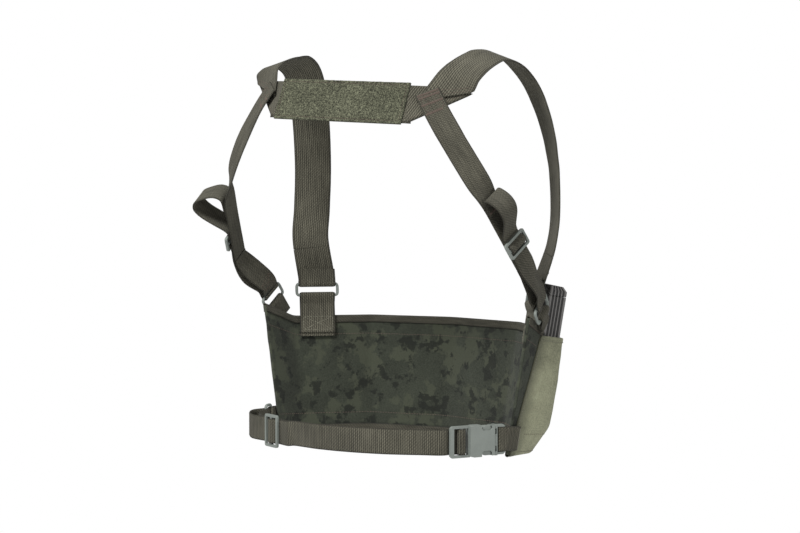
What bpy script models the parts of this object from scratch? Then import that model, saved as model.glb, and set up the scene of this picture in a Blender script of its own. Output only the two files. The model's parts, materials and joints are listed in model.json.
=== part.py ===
"""Load-bearing chest rig with an H harness, worn shape, as separate pieces.

The wearer faces +Y, the wearer's right hand is at +X and +Z is up. The origin is on the wearer's
centre line at the height of the back belt. Lengths in this file are millimetres and are turned
into metres where a mesh is made.
"""
import math

import bmesh
import bpy
from mathutils import Matrix, Vector

METRE = 0.001
GAP = 0.3

# Webbing
NARROW = 25.0
WIDE = 40.0
WEB = 1.6
WIDE_WEB = 1.8

# Yoke across the upper back
YOKE_Y = -83.0
YOKE_Z = 329.0
YOKE_HALF = 77.0
YOKE_TILT = math.radians(25.0)
YOKE_CORNER_TURN = math.radians(30.0)
YOKE_TOP_REACH = 24.0
FOLD_ALONG = 61.5
FOLD_UP = 13.6
SHOULDER_SLANT = 40.0
SLANT_REACH = 50.0
LOOP_PANEL_HEIGHT = 44.0
LOOP_PANEL_THICK = 2.6
ASKEW = 0.05

# Layers that lie on each other at a yoke corner, measured out from the yoke webbing's middle
SHOULDER_LAYER = WIDE_WEB + 3 * GAP
DIAGONAL_LAYER = SHOULDER_LAYER + WIDE_WEB / 2 + WEB / 2 + 4 * GAP

# Side tri-glides
GLIDE_CENTRE = Vector((171.0, -38.0, 192.0))
GLIDE_DOWN = Vector((0.215, 0.5175, -0.828)).normalized()
GLIDE_OUT = Vector((0.967, -0.217, 0.115))
GLIDE_WIDTH = 32.0
GLIDE_LENGTH = 17.0
GLIDE_THICK = 2.6
GLIDE_BAR = 2.6
GLIDE_CENTRE_BAR = 3.0
GLIDE_SIDE = 2.8
GLIDE_CORNER = 2.4
WEAVE_RISE = GLIDE_THICK / 2 + GAP + WEB / 2
WEAVE_LEAD = 1.0
WEAVE_TURN = 0.3
UNDER_LAYER = WEAVE_RISE + WEB + GAP
SLACK_RIGHT = (47.0, 15.0)
SLACK_LEFT = (47.0, 36.0)
SLACK_SHAPE = ((0.0, 0.0), (0.10, 0.08), (0.26, 0.45), (0.42, 0.80), (0.60, 1.0),
               (0.78, 0.92), (0.92, 0.62), (1.0, 0.30))
SLACK_RETURN = ((0.96, 2.2), (0.84, 0.4), (0.62, 0.0))

# Chest panel: plan of its inner face at mid height, from the right-hand back edge to the middle
PLAN = (Vector((148, 2)), Vector((144, 40)), Vector((88, 96)), Vector((6, 113)))
PLAN_HEIGHT = 50.0
FLARE = math.radians(9.3)
PANEL_BOTTOM = -18.0
PANEL_TOP = 102.0
PANEL_THICK = 3.0
WING_RISE = 16.0
BINDING_DEPTH = 7.0
BINDING_THICK = 0.9

# Magazine pouches
POUCH_WIDTH = 75.0
POUCH_BOTTOM = -20.0
POUCH_HEIGHT = 117.0
POUCH_WALL = 1.6
POUCH_BACK_WALL = 1.2
POUCH_SEAT = BINDING_THICK + 2 * GAP
POUCH_DEPTHS = ((0.0, 9.0), (30.0, 24.5), (80.0, 25.0), (POUCH_HEIGHT, 23.5))
POUCH_SEAMS = (31.0, 27.0, 14.0, 5.2)

# Magazine
MAG_WIDTH = 64.0
MAG_IN = 3.2
MAG_OUT = 21.4
MAG_START = 8.0
MAG_SLOPE_END = 31.0
MAG_PLATE_START = 158.0
MAG_PLATE_EDGE = 4.6
MAG_END = 168.0

# Belt
BELT_A = 139.0
BELT_B = 99.0
LOOP_CLEARANCE = 0.6
BELT_GLIDE_CENTRE = Vector((-87.5, -83.0, -1.0))
BELT_GLIDE_AWAY = Vector((-0.92, 0.39, 0.0)).normalized()
BELT_GLIDE_LENGTH = 24.0
BELT_GLIDE_WIDTH = 33.0

# Side-release buckle: P runs from the ladder end to the plug's end, Q is up, N is out
BUCKLE_START = Vector((108.6, -61.8, 0.0))
BUCKLE_END = Vector((138.0, -10.3, 0.0))
BUCKLE_RISE = 4.0
BUCKLE_HEIGHT = 31.0
LADDER_END_BAR = 4.0
LADDER_BAR_START = 11.0
LADDER_BAR_END = 14.0
LADDER_THICK = 3.2
HOUSING_START = 20.4
HOUSING_END = 47.6
HOUSING_THICK = 10.0
HOUSING_WALL = 1.8
NOTCH_START = 33.0
NOTCH_END = 44.6
NOTCH_DEPTH = 5.6
PLUG_START = 48.0
PLUG_END = 60.5
PLUG_SLOT = (51.0, 55.2)
PLUG_BAR_THICK = 3.0
TONGUE_START = 25.0
ANCHOR_START = -17.5
ANCHOR_END = -12.5
PRONG_ROOT = 46.6
PRONG_TIP = 30.0

# Rings and the tabs that hold them
RING_BAR = 3.4
TURN = RING_BAR / 2 + GAP + WEB / 2
FRONT_TAB_START = -20.0
SIDE_TAB_START = -6.0
SIDE_TAB_LEVEL = 111.0
SIDE_TAB_BACK = 12.0
SIDE_TAB_TILT = math.radians(38.0)
SIDE_TAB_WIDTH = 22.0
SIDE_BAR_UP = 12.0
SIDE_RING_WIDTH = 34.0
SIDE_RING_LENGTH = 18.0
FRONT_RING_ALONG = -17.0
FRONT_TAB_WIDTH = 38.0
FRONT_BAR_UP = 24.0
FRONT_RING_WIDTH = 48.0
FRONT_RING_LENGTH = 16.0
BELT_RING_CENTRE = Vector((-143.0, -14.5, -1.0))
BELT_RING_AWAY = Vector((0.17, -0.985, 0.0)).normalized()
BELT_RING_WIDTH = 34.0
BELT_RING_LENGTH = 15.0


# ---------------------------------------------------------------- materials and mesh helpers

def material(name, colour, roughness, metallic=0.0):
    """Return a Principled material with one colour, made once."""
    found = bpy.data.materials.get(name)
    if found:
        return found
    made = bpy.data.materials.new(name)
    made.use_nodes = True
    shader = made.node_tree.nodes["Principled BSDF"]
    shader.inputs["Base Color"].default_value = (*colour, 1.0)
    shader.inputs["Roughness"].default_value = roughness
    shader.inputs["Metallic"].default_value = metallic
    return made


def webbing_material():
    return material("webbing", (0.112, 0.107, 0.078), 0.85)


def loop_material():
    return material("loop_pile", (0.125, 0.129, 0.087), 0.95)


def panel_material():
    return material("panel_fabric", (0.062, 0.070, 0.046), 0.9)


def pouch_material():
    return material("pouch_fabric", (0.205, 0.208, 0.142), 0.85)


def plastic_material():
    return material("foliage_plastic", (0.235, 0.265, 0.232), 0.5)


def polymer_material():
    return material("magazine_polymer", (0.068, 0.066, 0.064), 0.55)


def mesh_object(name, vertices, faces, surface, warp=None):
    """Make one closed object from millimetre vertices, with its faces pointing out."""
    if warp:
        vertices = [warp(Vector(v)) for v in vertices]
    mesh = bpy.data.meshes.new(name)
    mesh.from_pydata([Vector(v) * METRE for v in vertices], [], faces)
    sheet = bmesh.new()
    sheet.from_mesh(mesh)
    bmesh.ops.remove_doubles(sheet, verts=sheet.verts, dist=1e-6)
    bmesh.ops.recalc_face_normals(sheet, faces=sheet.faces)
    sheet.to_mesh(mesh)
    sheet.free()
    mesh.materials.append(surface)
    made = bpy.data.objects.new(name, mesh)
    bpy.context.scene.collection.objects.link(made)
    return made


def set_origin(made, point):
    """Move an object's origin to a point given in millimetres, leaving its mesh in place."""
    place = Vector(point) * METRE
    made.data.transform(Matrix.Translation(-place))
    made.location = place
    return made


def mirrored(point, side):
    return Vector((side * point[0], point[1], point[2]))


def to_side(keys, side):
    """Mirror (centre, out) keys to one side of the wearer."""
    return [(mirrored(p, side), mirrored(n, side)) for p, n in keys]


def askew(point):
    """Lower the right-hand side of the upper harness and raise its left, as it hangs when worn."""
    height = min(max((point.z - 235.0) / 65.0, 0.0), 1.0)
    back = min(max((-point.y - 10.0) / 40.0, 0.0), 1.0)
    return Vector((point.x, point.y, point.z - ASKEW * point.x * height * back))


def smooth(keys, steps):
    """Catmull-Rom points through (centre, out) keys, with steps between each pair."""
    points = [[Vector(p), Vector(n)] for p, n in keys]
    first = [points[0][k] * 2 - points[1][k] for k in range(2)]
    last = [points[-1][k] * 2 - points[-2][k] for k in range(2)]
    padded = [first] + points + [last]
    stations = []
    for index in range(1, len(padded) - 2):
        for step in range(steps):
            t = step / steps
            stations.append([catmull([padded[index + j][k] for j in (-1, 0, 1, 2)], t) for k in range(2)])
    stations.append(points[-1])
    return [(centre, out.normalized()) for centre, out in stations]


def catmull(p, t):
    a = 2 * p[1]
    b = p[2] - p[0]
    c = 2 * p[0] - 5 * p[1] + 4 * p[2] - p[3]
    d = -p[0] + 3 * p[1] - 3 * p[2] + p[3]
    return 0.5 * (a + b * t + c * t * t + d * t ** 3)


def frames(stations):
    """Return (centre, along, across, out) at each station of a strap."""
    result = []
    for index, (centre, out) in enumerate(stations):
        before = stations[max(index - 1, 0)][0]
        after = stations[min(index + 1, len(stations) - 1)][0]
        along = (after - before).normalized()
        across = along.cross(out).normalized()
        result.append((centre, along, across, across.cross(along).normalized()))
    return result


def walk(rows, runs, distance):
    """The strap's centre, across and out at a distance from its start, which may lie before it."""
    if distance <= 0.0:
        centre, along, across, out = rows[0]
        return centre + along * distance, across, out
    index = 0
    while index < len(rows) - 2 and runs[index + 1] < distance:
        index += 1
    share = (distance - runs[index]) / (runs[index + 1] - runs[index])
    return [rows[index][k].lerp(rows[index + 1][k], share) for k in (0, 2, 3)]


def ribbon(name, stations, width, thick, surface, start_slant=0.0, warp=None):
    """Make a flat strap that follows the stations. A slant cuts its start at an angle."""
    rows = frames(stations)
    runs = [0.0]
    for before, after in zip(rows[:-1], rows[1:]):
        runs.append(runs[-1] + (after[0] - before[0]).length)
    vertices = []
    for run in runs:
        slant = start_slant * max(1.0 - run / SLANT_REACH, 0.0)
        for side in (-1, 1):
            centre, across, out = walk(rows, runs, run + side * slant / 2)
            edge = centre + across * (side * width / 2)
            vertices += [edge - out * (thick / 2), edge + out * (thick / 2)]
    faces = [(0, 1, 3, 2)]
    for row in range(len(rows) - 1):
        a = row * 4
        b = a + 4
        faces += [(a, a + 2, b + 2, b), (a + 1, b + 1, b + 3, a + 3)]
        faces += [(a, b, b + 1, a + 1), (a + 2, a + 3, b + 3, b + 2)]
    end = len(vertices) - 4
    faces.append((end, end + 2, end + 3, end + 1))
    return mesh_object(name, vertices, faces, surface, warp)


def prism(name, outline, depth_axis, low, high, surface, warp=None):
    """Extrude a closed outline of points between two offsets along an axis."""
    axis = Vector(depth_axis)
    count = len(outline)
    vertices = [Vector(p) + axis * low for p in outline] + [Vector(p) + axis * high for p in outline]
    faces = [tuple(range(count)), tuple(range(2 * count - 1, count - 1, -1))]
    for index in range(count):
        nxt = (index + 1) % count
        faces.append((index, nxt, nxt + count, index + count))
    return mesh_object(name, vertices, faces, surface, warp)


def slotted_plate(name, centre, across, along, width, length, thick, slots, surface, corner=GLIDE_CORNER):
    """A flat plastic frame with rectangular slots and rounded outer corners.

    slots lists (low, high) along the plate, all with the same side bars.
    """
    across = across.normalized()
    along = (along - across * along.dot(across)).normalized()
    out = across.cross(along)
    half = width / 2
    xs = [-half, -half + GLIDE_SIDE, half - GLIDE_SIDE, half]
    ys = sorted({-length / 2, length / 2, *[edge for slot in slots for edge in slot]})
    vertices = []
    for level in (-thick / 2, thick / 2):
        for y in ys:
            vertices += [centre + across * x + along * y + out * level for x in xs]
    layer = 4 * len(ys)
    solid = [[True] * 3 for _ in range(len(ys) - 1)]
    for low, _ in slots:
        solid[ys.index(low)][1] = False
    faces = plate_faces(solid, layer)
    made = mesh_object(name, vertices, faces, surface)
    round_corners(made, centre, across, along, half, length / 2, corner)
    return made


def plate_faces(solid, layer):
    """Faces of a grid plate, walls only where a solid cell meets an empty one."""
    faces = []
    rows = len(solid)
    for j in range(rows):
        for i in range(3):
            if not solid[j][i]:
                continue
            a, b, c, d = j * 4 + i, j * 4 + i + 1, (j + 1) * 4 + i + 1, (j + 1) * 4 + i
            faces += [(a, d, c, b), (a + layer, b + layer, c + layer, d + layer)]
            sides = (((a, b), (-1, 0)), ((b, c), (0, 1)), ((c, d), (1, 0)), ((d, a), (0, -1)))
            for (p, q), (dj, di) in sides:
                inside = 0 <= j + dj < rows and 0 <= i + di < 3 and solid[j + dj][i + di]
                if not inside:
                    faces.append((p, q, q + layer, p + layer))
    return faces


def round_corners(made, centre, across, along, half_x, half_y, radius):
    """Bevel the four outer corner edges of a plate."""
    sheet = bmesh.new()
    sheet.from_mesh(made.data)
    chosen = []
    for edge in sheet.edges:
        flat = [(v.co / METRE - centre) for v in edge.verts]
        if all(abs(abs(p.dot(across)) - half_x) < 0.01 for p in flat):
            if all(abs(abs(p.dot(along)) - half_y) < 0.01 for p in flat):
                gap = flat[0] - flat[1]
                if abs(gap.dot(across)) < 0.01 and abs(gap.dot(along)) < 0.01:
                    chosen.append(edge)
    bmesh.ops.bevel(sheet, geom=chosen, offset=radius * METRE, segments=3, affect="EDGES", profile=0.5)
    sheet.to_mesh(made.data)
    sheet.free()


# ---------------------------------------------------------------- yoke and shoulder straps

def yoke_out(turn=0.0):
    flat = Vector((0.0, -math.cos(YOKE_TILT), math.sin(YOKE_TILT)))
    return Matrix.Rotation(turn, 3, "Z") @ flat


def yoke_up(turn=0.0):
    flat = Vector((0.0, math.sin(YOKE_TILT), math.cos(YOKE_TILT)))
    return Matrix.Rotation(turn, 3, "Z") @ flat


def yoke_corner(side, out_along, up, layer):
    """A point on the yoke's turned corner: along the webbing, up its width, and out by layer."""
    turn = side * YOKE_CORNER_TURN
    start = Vector((side * YOKE_HALF, YOKE_Y, YOKE_Z))
    along = Matrix.Rotation(turn, 3, "Z") @ Vector((side, 0.0, 0.0))
    return start + along * out_along + yoke_up(turn) * up + yoke_out(turn) * layer


def build_yoke():
    """Webbing across the back, its turned ends folded up to points below the shoulder straps."""
    up = WIDE / 2
    vertices = []
    for layer in (-WIDE_WEB / 2, WIDE_WEB / 2):
        ring = [yoke_corner(-1, FOLD_ALONG, FOLD_UP, layer), yoke_corner(-1, YOKE_TOP_REACH, up, layer)]
        for side in (-1, 1):
            turn = side * YOKE_CORNER_TURN / 2
            middle = Vector((side * YOKE_HALF, YOKE_Y, YOKE_Z)) + yoke_out(turn) * layer
            lift = yoke_up(turn) * up
            ring += [middle - lift, middle + lift]
        ring += [yoke_corner(1, FOLD_ALONG, FOLD_UP, layer), yoke_corner(1, YOKE_TOP_REACH, up, layer)]
        vertices += ring
    faces = []
    for column in range(3):
        a = column * 2
        faces += [(a, a + 1, a + 3, a + 2), (a + 8, a + 10, a + 11, a + 9)]
        faces += [(a, a + 2, a + 10, a + 8), (a + 1, a + 9, a + 11, a + 3)]
    faces += [(0, 8, 9, 1), (6, 7, 15, 14)]
    return mesh_object("yoke_webbing", vertices, faces, webbing_material(), askew)


def build_loop_panel():
    centre = Vector((0.0, YOKE_Y, YOKE_Z))
    low = WIDE_WEB / 2 + GAP
    half = YOKE_HALF - 2.0
    up = yoke_up() * (LOOP_PANEL_HEIGHT / 2)
    right = Vector((half, 0.0, 0.0))
    outline = [centre - right - up, centre + right - up, centre + right + up, centre - right + up]
    return prism("loop_panel", outline, yoke_out(), low, low + LOOP_PANEL_THICK, loop_material(), askew)


def shoulder_keys():
    """Route of a shoulder strap from its yoke corner, over the shoulder, to its front ring."""
    corner = yoke_out(YOKE_CORNER_TURN)
    return [
        (yoke_corner(1, 34.7, 8.5, SHOULDER_LAYER), corner),
        (yoke_corner(1, 44.8, 23.7, SHOULDER_LAYER), corner),
        (yoke_corner(1, 52.0, 35.5, 0.9), (0.24, -0.78, 0.58)),
        ((119, -22, 371), (0.24, -0.36, 0.90)),
        ((124, 4, 375), (0.33, 0.10, 0.94)),
        ((130, 30, 366), (0.42, 0.52, 0.74)),
        ((138, 52, 343), (0.55, 0.72, 0.42)),
        ((145, 68, 305), (0.65, 0.74, 0.18)),
        ((149, 76, 262), (0.72, 0.69, 0.02)),
        ((150.5, 76, 220), (0.74, 0.66, -0.10)),
        ((149, 71, 187), (0.73, 0.66, -0.16)),
    ]


# ---------------------------------------------------------------- diagonal straps and adjusters

def glide_point(down, out):
    return GLIDE_CENTRE + GLIDE_DOWN * down + glide_out() * out


def glide_out():
    out = GLIDE_OUT - GLIDE_DOWN * GLIDE_OUT.dot(GLIDE_DOWN)
    return out.normalized()


def diagonal_keys():
    """Route of a diagonal strap from the yoke corner to below the side tri-glide."""
    corner = yoke_out(YOKE_CORNER_TURN)
    return [
        (yoke_corner(1, 17.6, 12.1, DIAGONAL_LAYER), corner),
        (yoke_corner(1, 27.7, -9.5, DIAGONAL_LAYER), corner),
        ((120.6, -76.7, 300), (0.42, -0.84, 0.34)),
        ((134.7, -75.8, 277.6), (0.44, -0.86, 0.26)),
        ((147.0, -72.0, 255), (0.59, -0.78, 0.20)),
        (glide_point(-50.0, -UNDER_LAYER - LOOP_CLEARANCE), glide_out()),
        (glide_point(-24.0, -UNDER_LAYER), glide_out()),
        (glide_point(22.0, -UNDER_LAYER), glide_out()),
    ]


def build_diagonal(side, label):
    stations = smooth(to_side(diagonal_keys(), side), 4)
    return ribbon("diagonal_strap_" + label, stations, NARROW, WEB, webbing_material(), warp=askew)


def glide_slots():
    inner = GLIDE_LENGTH / 2 - GLIDE_BAR
    bar = GLIDE_CENTRE_BAR / 2
    return ((-inner, -bar), (bar, inner))


def build_side_glide(side, label):
    centre = mirrored(GLIDE_CENTRE, side)
    down = mirrored(GLIDE_DOWN, side)
    across = down.cross(mirrored(glide_out(), side))
    return slotted_plate("side_glide_" + label, centre, across, down, GLIDE_WIDTH, GLIDE_LENGTH,
                         GLIDE_THICK, glide_slots(), plastic_material())


def bend(profile, place, forward, out):
    """Stations of webbing bent to a (forward, out) profile, which place() turns into points."""
    stations = []
    for index, (run, rise) in enumerate(profile):
        ahead = profile[min(index + 1, len(profile) - 1)]
        behind = profile[max(index - 1, 0)]
        normal = out * (ahead[0] - behind[0]) - forward * (ahead[1] - behind[1])
        stations.append((place(run, rise), normal.normalized()))
    return stations


def weave(centre, along, out, length, slots):
    """Stations of webbing that passes under a three-bar frame, over its centre bar and under again."""
    end = length / 2 + WEAVE_LEAD
    bar, edge = slots[1]
    profile = [(-end, -WEAVE_RISE), (-edge + WEAVE_TURN, -WEAVE_RISE), (-bar - WEAVE_TURN, WEAVE_RISE)]
    profile += [(bar + WEAVE_TURN, WEAVE_RISE), (edge - WEAVE_TURN, -WEAVE_RISE), (end, -WEAVE_RISE)]
    return bend(profile, lambda run, rise: centre + along * run + out * rise, along, out)


def build_glide_weave(side, label):
    centre = mirrored(GLIDE_CENTRE, side)
    down, out = mirrored(GLIDE_DOWN, side), mirrored(glide_out(), side)
    stations = weave(centre, down, out, GLIDE_LENGTH, glide_slots())
    return ribbon("glide_webbing_" + label, stations, NARROW, WEB, webbing_material())


def build_slack_loop(side, label, reach, bulge):
    """Spare webbing above a tri-glide, standing off the strap as a flat teardrop loop."""
    first = GLIDE_LENGTH / 2 + WEAVE_LEAD + 2 * GAP
    seat = -UNDER_LAYER + WEB + 2 * GAP
    profile = [(-first - reach * s, bulge * n - WEAVE_RISE) for s, n in SLACK_SHAPE]
    profile += [(-first - reach * s, seat + lift) for s, lift in SLACK_RETURN]
    keys = to_side(bend(profile, glide_point, GLIDE_DOWN, glide_out()), side)
    keys = [(p, -n) for p, n in keys]
    return ribbon("slack_loop_" + label, smooth(keys, 3), NARROW, WEB, webbing_material())


# ---------------------------------------------------------------- chest panel

def edge_normals():
    """Outward plan normals of the right-hand half of the panel, back to middle."""
    result = []
    for first, second in zip(PLAN[:-1], PLAN[1:]):
        along = (second - first).normalized()
        result.append(Vector((along.y, -along.x)))
    return result


def plan_vertices(offset):
    """Right-hand plan vertices with every edge moved out by an offset."""
    normals = edge_normals()
    moved = [PLAN[0] + normals[0] * offset]
    for index in (1, 2):
        moved.append(meet(PLAN[index], normals[index - 1], normals[index], offset))
    moved.append(meet(PLAN[3], normals[2], Vector((0.0, 1.0)), offset))
    return moved


def meet(corner, first, second, offset):
    """Corner of two edges after both have moved out by an offset."""
    total = first + second
    return corner + total * (offset / total.dot(first))


def flare_at(height):
    return (height - PLAN_HEIGHT) * math.tan(FLARE)


def panel_ring(height, layer):
    """All plan points at one height, right back edge round to left back edge."""
    level = height + WING_RISE if height > PLAN_HEIGHT else height
    edge = plan_vertices(flare_at(level) + layer / math.cos(FLARE))[0]
    inner = plan_vertices(flare_at(height) + layer / math.cos(FLARE))[1:]
    right = [Vector((edge.x, edge.y, level))] + [Vector((p.x, p.y, height)) for p in inner]
    return right + [mirrored(p, -1) for p in reversed(right)]


def build_panel_strip(name, low, high, inner, outer, surface):
    """A strip of the panel between two heights and two layers."""
    rings = [panel_ring(z, layer) for z in (low, high) for layer in (inner, outer)]
    count = len(rings[0])
    vertices = [p for ring in rings for p in ring]
    faces = []
    for i in range(count - 1):
        a, b, c, d = i, count + i, 2 * count + i, 3 * count + i
        faces += [(a, a + 1, b + 1, b), (c, d, d + 1, c + 1), (a, c, c + 1, a + 1), (b, b + 1, d + 1, d)]
    last = count - 1
    faces += [(0, count, 3 * count, 2 * count)]
    faces += [(last, 2 * count + last, 3 * count + last, count + last)]
    return mesh_object(name, vertices, faces, surface)


def build_binding(name, edge, inward):
    """Tape folded over the panel's top or bottom edge. inward is +1 at the bottom, -1 at the top."""
    reach = edge + inward * BINDING_DEPTH
    cap = edge - inward * GAP
    outside = cap - inward * BINDING_THICK
    inner = -GAP
    outer = PANEL_THICK + GAP
    low, high = inner - BINDING_THICK, outer + BINDING_THICK
    profile = [(reach, low), (outside, low), (outside, high), (reach, high)]
    profile += [(reach, outer), (cap, outer), (cap, inner), (reach, inner)]
    rings = [panel_ring(z, layer) for z, layer in profile]
    count = len(rings[0])
    sides = len(profile)
    vertices = [p for ring in rings for p in ring]
    faces = []
    for k in range(sides):
        nxt = (k + 1) % sides
        for i in range(count - 1):
            faces.append((k * count + i, k * count + i + 1, nxt * count + i + 1, nxt * count + i))
    faces.append(tuple(k * count for k in range(sides)))
    faces.append(tuple(k * count + count - 1 for k in reversed(range(sides))))
    return mesh_object(name, vertices, faces, webbing_material())


def segment_frame(index, side):
    """Middle, along, up and out of one flat stretch of the panel's outer face, at mid height."""
    normal = edge_normals()[index]
    middle = (PLAN[index] + PLAN[index + 1]) / 2
    along = (PLAN[index + 1] - PLAN[index]).normalized()
    flat_out = Vector((normal.x, normal.y, 0.0))
    up = (flat_out * math.sin(FLARE) + Vector((0.0, 0.0, 1.0)) * math.cos(FLARE)).normalized()
    out = (flat_out * math.cos(FLARE) - Vector((0.0, 0.0, 1.0)) * math.sin(FLARE)).normalized()
    centre = Vector((middle.x, middle.y, PLAN_HEIGHT)) + out * PANEL_THICK
    return [mirrored(v, side) for v in (centre, Vector((along.x, along.y, 0.0)), up, out)]


def on_segment(frame, along, height, out):
    """A point on a panel stretch: along it, at a height above the pouch bottom, out from its face."""
    centre, sideways, up, outward = frame
    rise = height + POUCH_BOTTOM - PLAN_HEIGHT
    return centre + sideways * along + up * (rise / math.cos(FLARE)) + outward * out


# ---------------------------------------------------------------- pouches and magazine

def on_wing(side, level, back, layer):
    """A point on the wing's outer face: how far back from its front corner, its height and layer."""
    corner = plan_vertices(flare_at(level) + (PANEL_THICK + layer) / math.cos(FLARE))[1]
    spot = corner + (PLAN[0] - PLAN[1]).normalized() * back
    return mirrored((spot.x, spot.y, level), side)


def pouch_ring(frame, half, back, height, depth):
    corners = [(-half, back), (half, back), (half, depth), (-half, depth)]
    return [on_segment(frame, a, height, d) for a, d in corners]


def gusset_ring(frame, side, half, back, height, depth, seam):
    """A pouch ring whose near side runs back to a seam on the wing."""
    level = height + POUCH_BOTTOM
    ring = pouch_ring(frame, half, back, height, depth)
    ring[0] = on_wing(side, level, 0.0, back)
    return ring + [on_wing(side, level, seam, back)]


def build_pouch(name, segment, side, gusset):
    """An open-topped pouch with a slanted foot: outer skin, inner skin and a rim between them."""
    frame = segment_frame(segment, side)
    half = POUCH_WIDTH / 2
    wall = POUCH_WALL
    floor_depth = POUCH_DEPTHS[0][1] - 0.6
    inner_back = POUCH_SEAT + POUCH_BACK_WALL
    outer, inner = [], []
    for (height, depth), seam in zip(POUCH_DEPTHS, POUCH_SEAMS):
        foot = height == 0.0
        raised = height + 3.0 if foot else height
        inside = floor_depth if foot else depth - wall
        if gusset:
            outer.append(gusset_ring(frame, side, half, POUCH_SEAT, height, depth, seam))
            inner.append(gusset_ring(frame, side, half - wall, inner_back, raised, inside, seam - 3 * wall))
        else:
            outer.append(pouch_ring(frame, half, POUCH_SEAT, height, depth))
            inner.append(pouch_ring(frame, half - wall, inner_back, raised, inside))
    rings = outer + list(reversed(inner))
    count = len(rings[0])
    vertices = [p for ring in rings for p in ring]
    faces = [(0, i, i + 1) for i in range(1, count - 1)]
    for k in range(len(rings) - 1):
        for i in range(count):
            nxt = (i + 1) % count
            a, b, c, d = k * count + i, k * count + nxt, (k + 1) * count + nxt, (k + 1) * count + i
            if k < len(outer):
                faces += [(a, b, d), (b, c, d)]
            else:
                faces += [(a, b, c), (a, c, d)]
    end = len(vertices) - count
    faces += [(end, end + i, end + i + 1) for i in range(1, count - 1)]
    return mesh_object(name, vertices, faces, pouch_material())


def build_magazine(side, segment, label):
    frame = segment_frame(segment, side)
    profile = [(MAG_START, MAG_IN), (MAG_START, 2 * MAG_IN), (MAG_SLOPE_END, MAG_OUT)]
    profile += [(MAG_PLATE_START, MAG_OUT), (MAG_PLATE_START, MAG_IN)]
    outline = [on_segment(frame, 0.0, height, out) for height, out in profile]
    half = MAG_WIDTH / 2
    body = prism("magazine_body_" + label, outline, frame[1], -half, half, polymer_material())
    plate_low = MAG_PLATE_START + GAP
    profile = [(plate_low, MAG_IN), (plate_low, MAG_OUT), (MAG_END - MAG_PLATE_EDGE, MAG_OUT)]
    profile += [(MAG_END, MAG_OUT - MAG_PLATE_EDGE), (MAG_END, MAG_IN)]
    outline = [on_segment(frame, 0.0, height, out) for height, out in profile]
    plate = prism("magazine_floor_plate_" + label, outline, frame[1], -half, half, polymer_material())
    return body, plate


# ---------------------------------------------------------------- rings, tabs and lower runs

def tube_ring(name, path, radius, surface):
    """A closed ring of round bar that follows a flat closed path."""
    sides = 8
    count = len(path)
    normal = (path[count // 3] - path[0]).cross(path[2 * count // 3] - path[0]).normalized()
    vertices = []
    for index, point in enumerate(path):
        along = (path[(index + 1) % count] - path[index - 1]).normalized()
        inward = along.cross(normal)
        for k in range(sides):
            angle = 2 * math.pi * (k + 0.5) / sides
            spoke = inward * math.cos(angle) + normal * math.sin(angle)
            vertices.append(point + spoke * radius)
    faces = []
    for index in range(count):
        a = index * sides
        b = (index + 1) % count * sides
        for k in range(sides):
            nxt = (k + 1) % sides
            faces.append((a + k, a + nxt, b + nxt, b + k))
    return mesh_object(name, vertices, faces, surface)


def local(frame, along, up, out):
    """A point in a frame of centre, along, up and out."""
    centre, sideways, rise, outward = frame
    return centre + sideways * along + rise * up + outward * out


def wing_frame(side):
    """Frame of the side tab: its origin on the wing's top edge, its up tilted towards the pull."""
    normal = edge_normals()[0]
    back = (PLAN[0] - PLAN[1]).normalized()
    out = Vector((normal.x, normal.y, 0.0))
    back = Vector((back.x, back.y, 0.0))
    tilt = SIDE_TAB_TILT
    up = Vector((0.0, 0.0, 1.0)) * math.cos(tilt) + back * math.sin(tilt)
    along = Vector((0.0, 0.0, 1.0)) * math.sin(tilt) - back * math.cos(tilt)
    frame = [mirrored(v, side) for v in (along, up, out)]
    return [on_wing(side, SIDE_TAB_LEVEL, SIDE_TAB_BACK, 0.0)] + frame


def front_frame(side):
    """Frame of the front tab on the panel's inner face, at the panel's top edge."""
    centre, along, up, out = segment_frame(1, side)
    rise = (PANEL_TOP - PLAN_HEIGHT) / math.cos(FLARE)
    return [centre + along * FRONT_RING_ALONG + up * rise, along, up, out]


def side_bar_out():
    """How far a ring's bar stands off the panel's face."""
    return BINDING_THICK + 3 * GAP + WEB / 2 + TURN


def front_bar_out():
    return -PANEL_THICK - side_bar_out()


def build_tab(name, frame, start, bar_up, bar_out, width, face_out):
    """Webbing sewn on a panel face that rises past the top edge and turns round a ring's bar.

    face_out is +1 on the outer face and -1 on the inner face.
    """
    near = -TURN * face_out
    stack = near + (WEB + GAP) * face_out
    profile = [(start, near), (-2.0, near), (bar_up, near)]
    for step in range(1, 6):
        angle = math.pi * step / 6
        profile.append((bar_up + TURN * math.sin(angle), -face_out * TURN * math.cos(angle)))
    profile += [(bar_up - 0.5, -near), (bar_up - 5.0, (stack - near) / 2), (bar_up - 8.0, stack)]
    profile += [(start + 4.0, stack)]
    stations = bend(profile, lambda rise, off: local(frame, 0.0, rise, bar_out + off), frame[2], frame[3])
    return ribbon(name, stations, width, WEB, webbing_material())


def build_ring(name, frame, bar_up, bar_out, width, length):
    """A rectangular ring whose lower bar lies in a tab."""
    span = length - RING_BAR
    centre = local(frame, 0.0, bar_up + span / 2, bar_out)
    path = rectangle_path(centre, frame[2], frame[1], span, width - RING_BAR, 3.0)
    made = tube_ring(name, path, RING_BAR / 2, plastic_material())
    return set_origin(made, local(frame, 0.0, bar_up, bar_out))


def side_top_bar(side):
    """The side ring's upper bar, the direction up from it and the outward direction."""
    frame = wing_frame(side)
    return local(frame, 0.0, SIDE_BAR_UP + SIDE_RING_LENGTH - RING_BAR, side_bar_out()), frame[2], frame[3]


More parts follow.
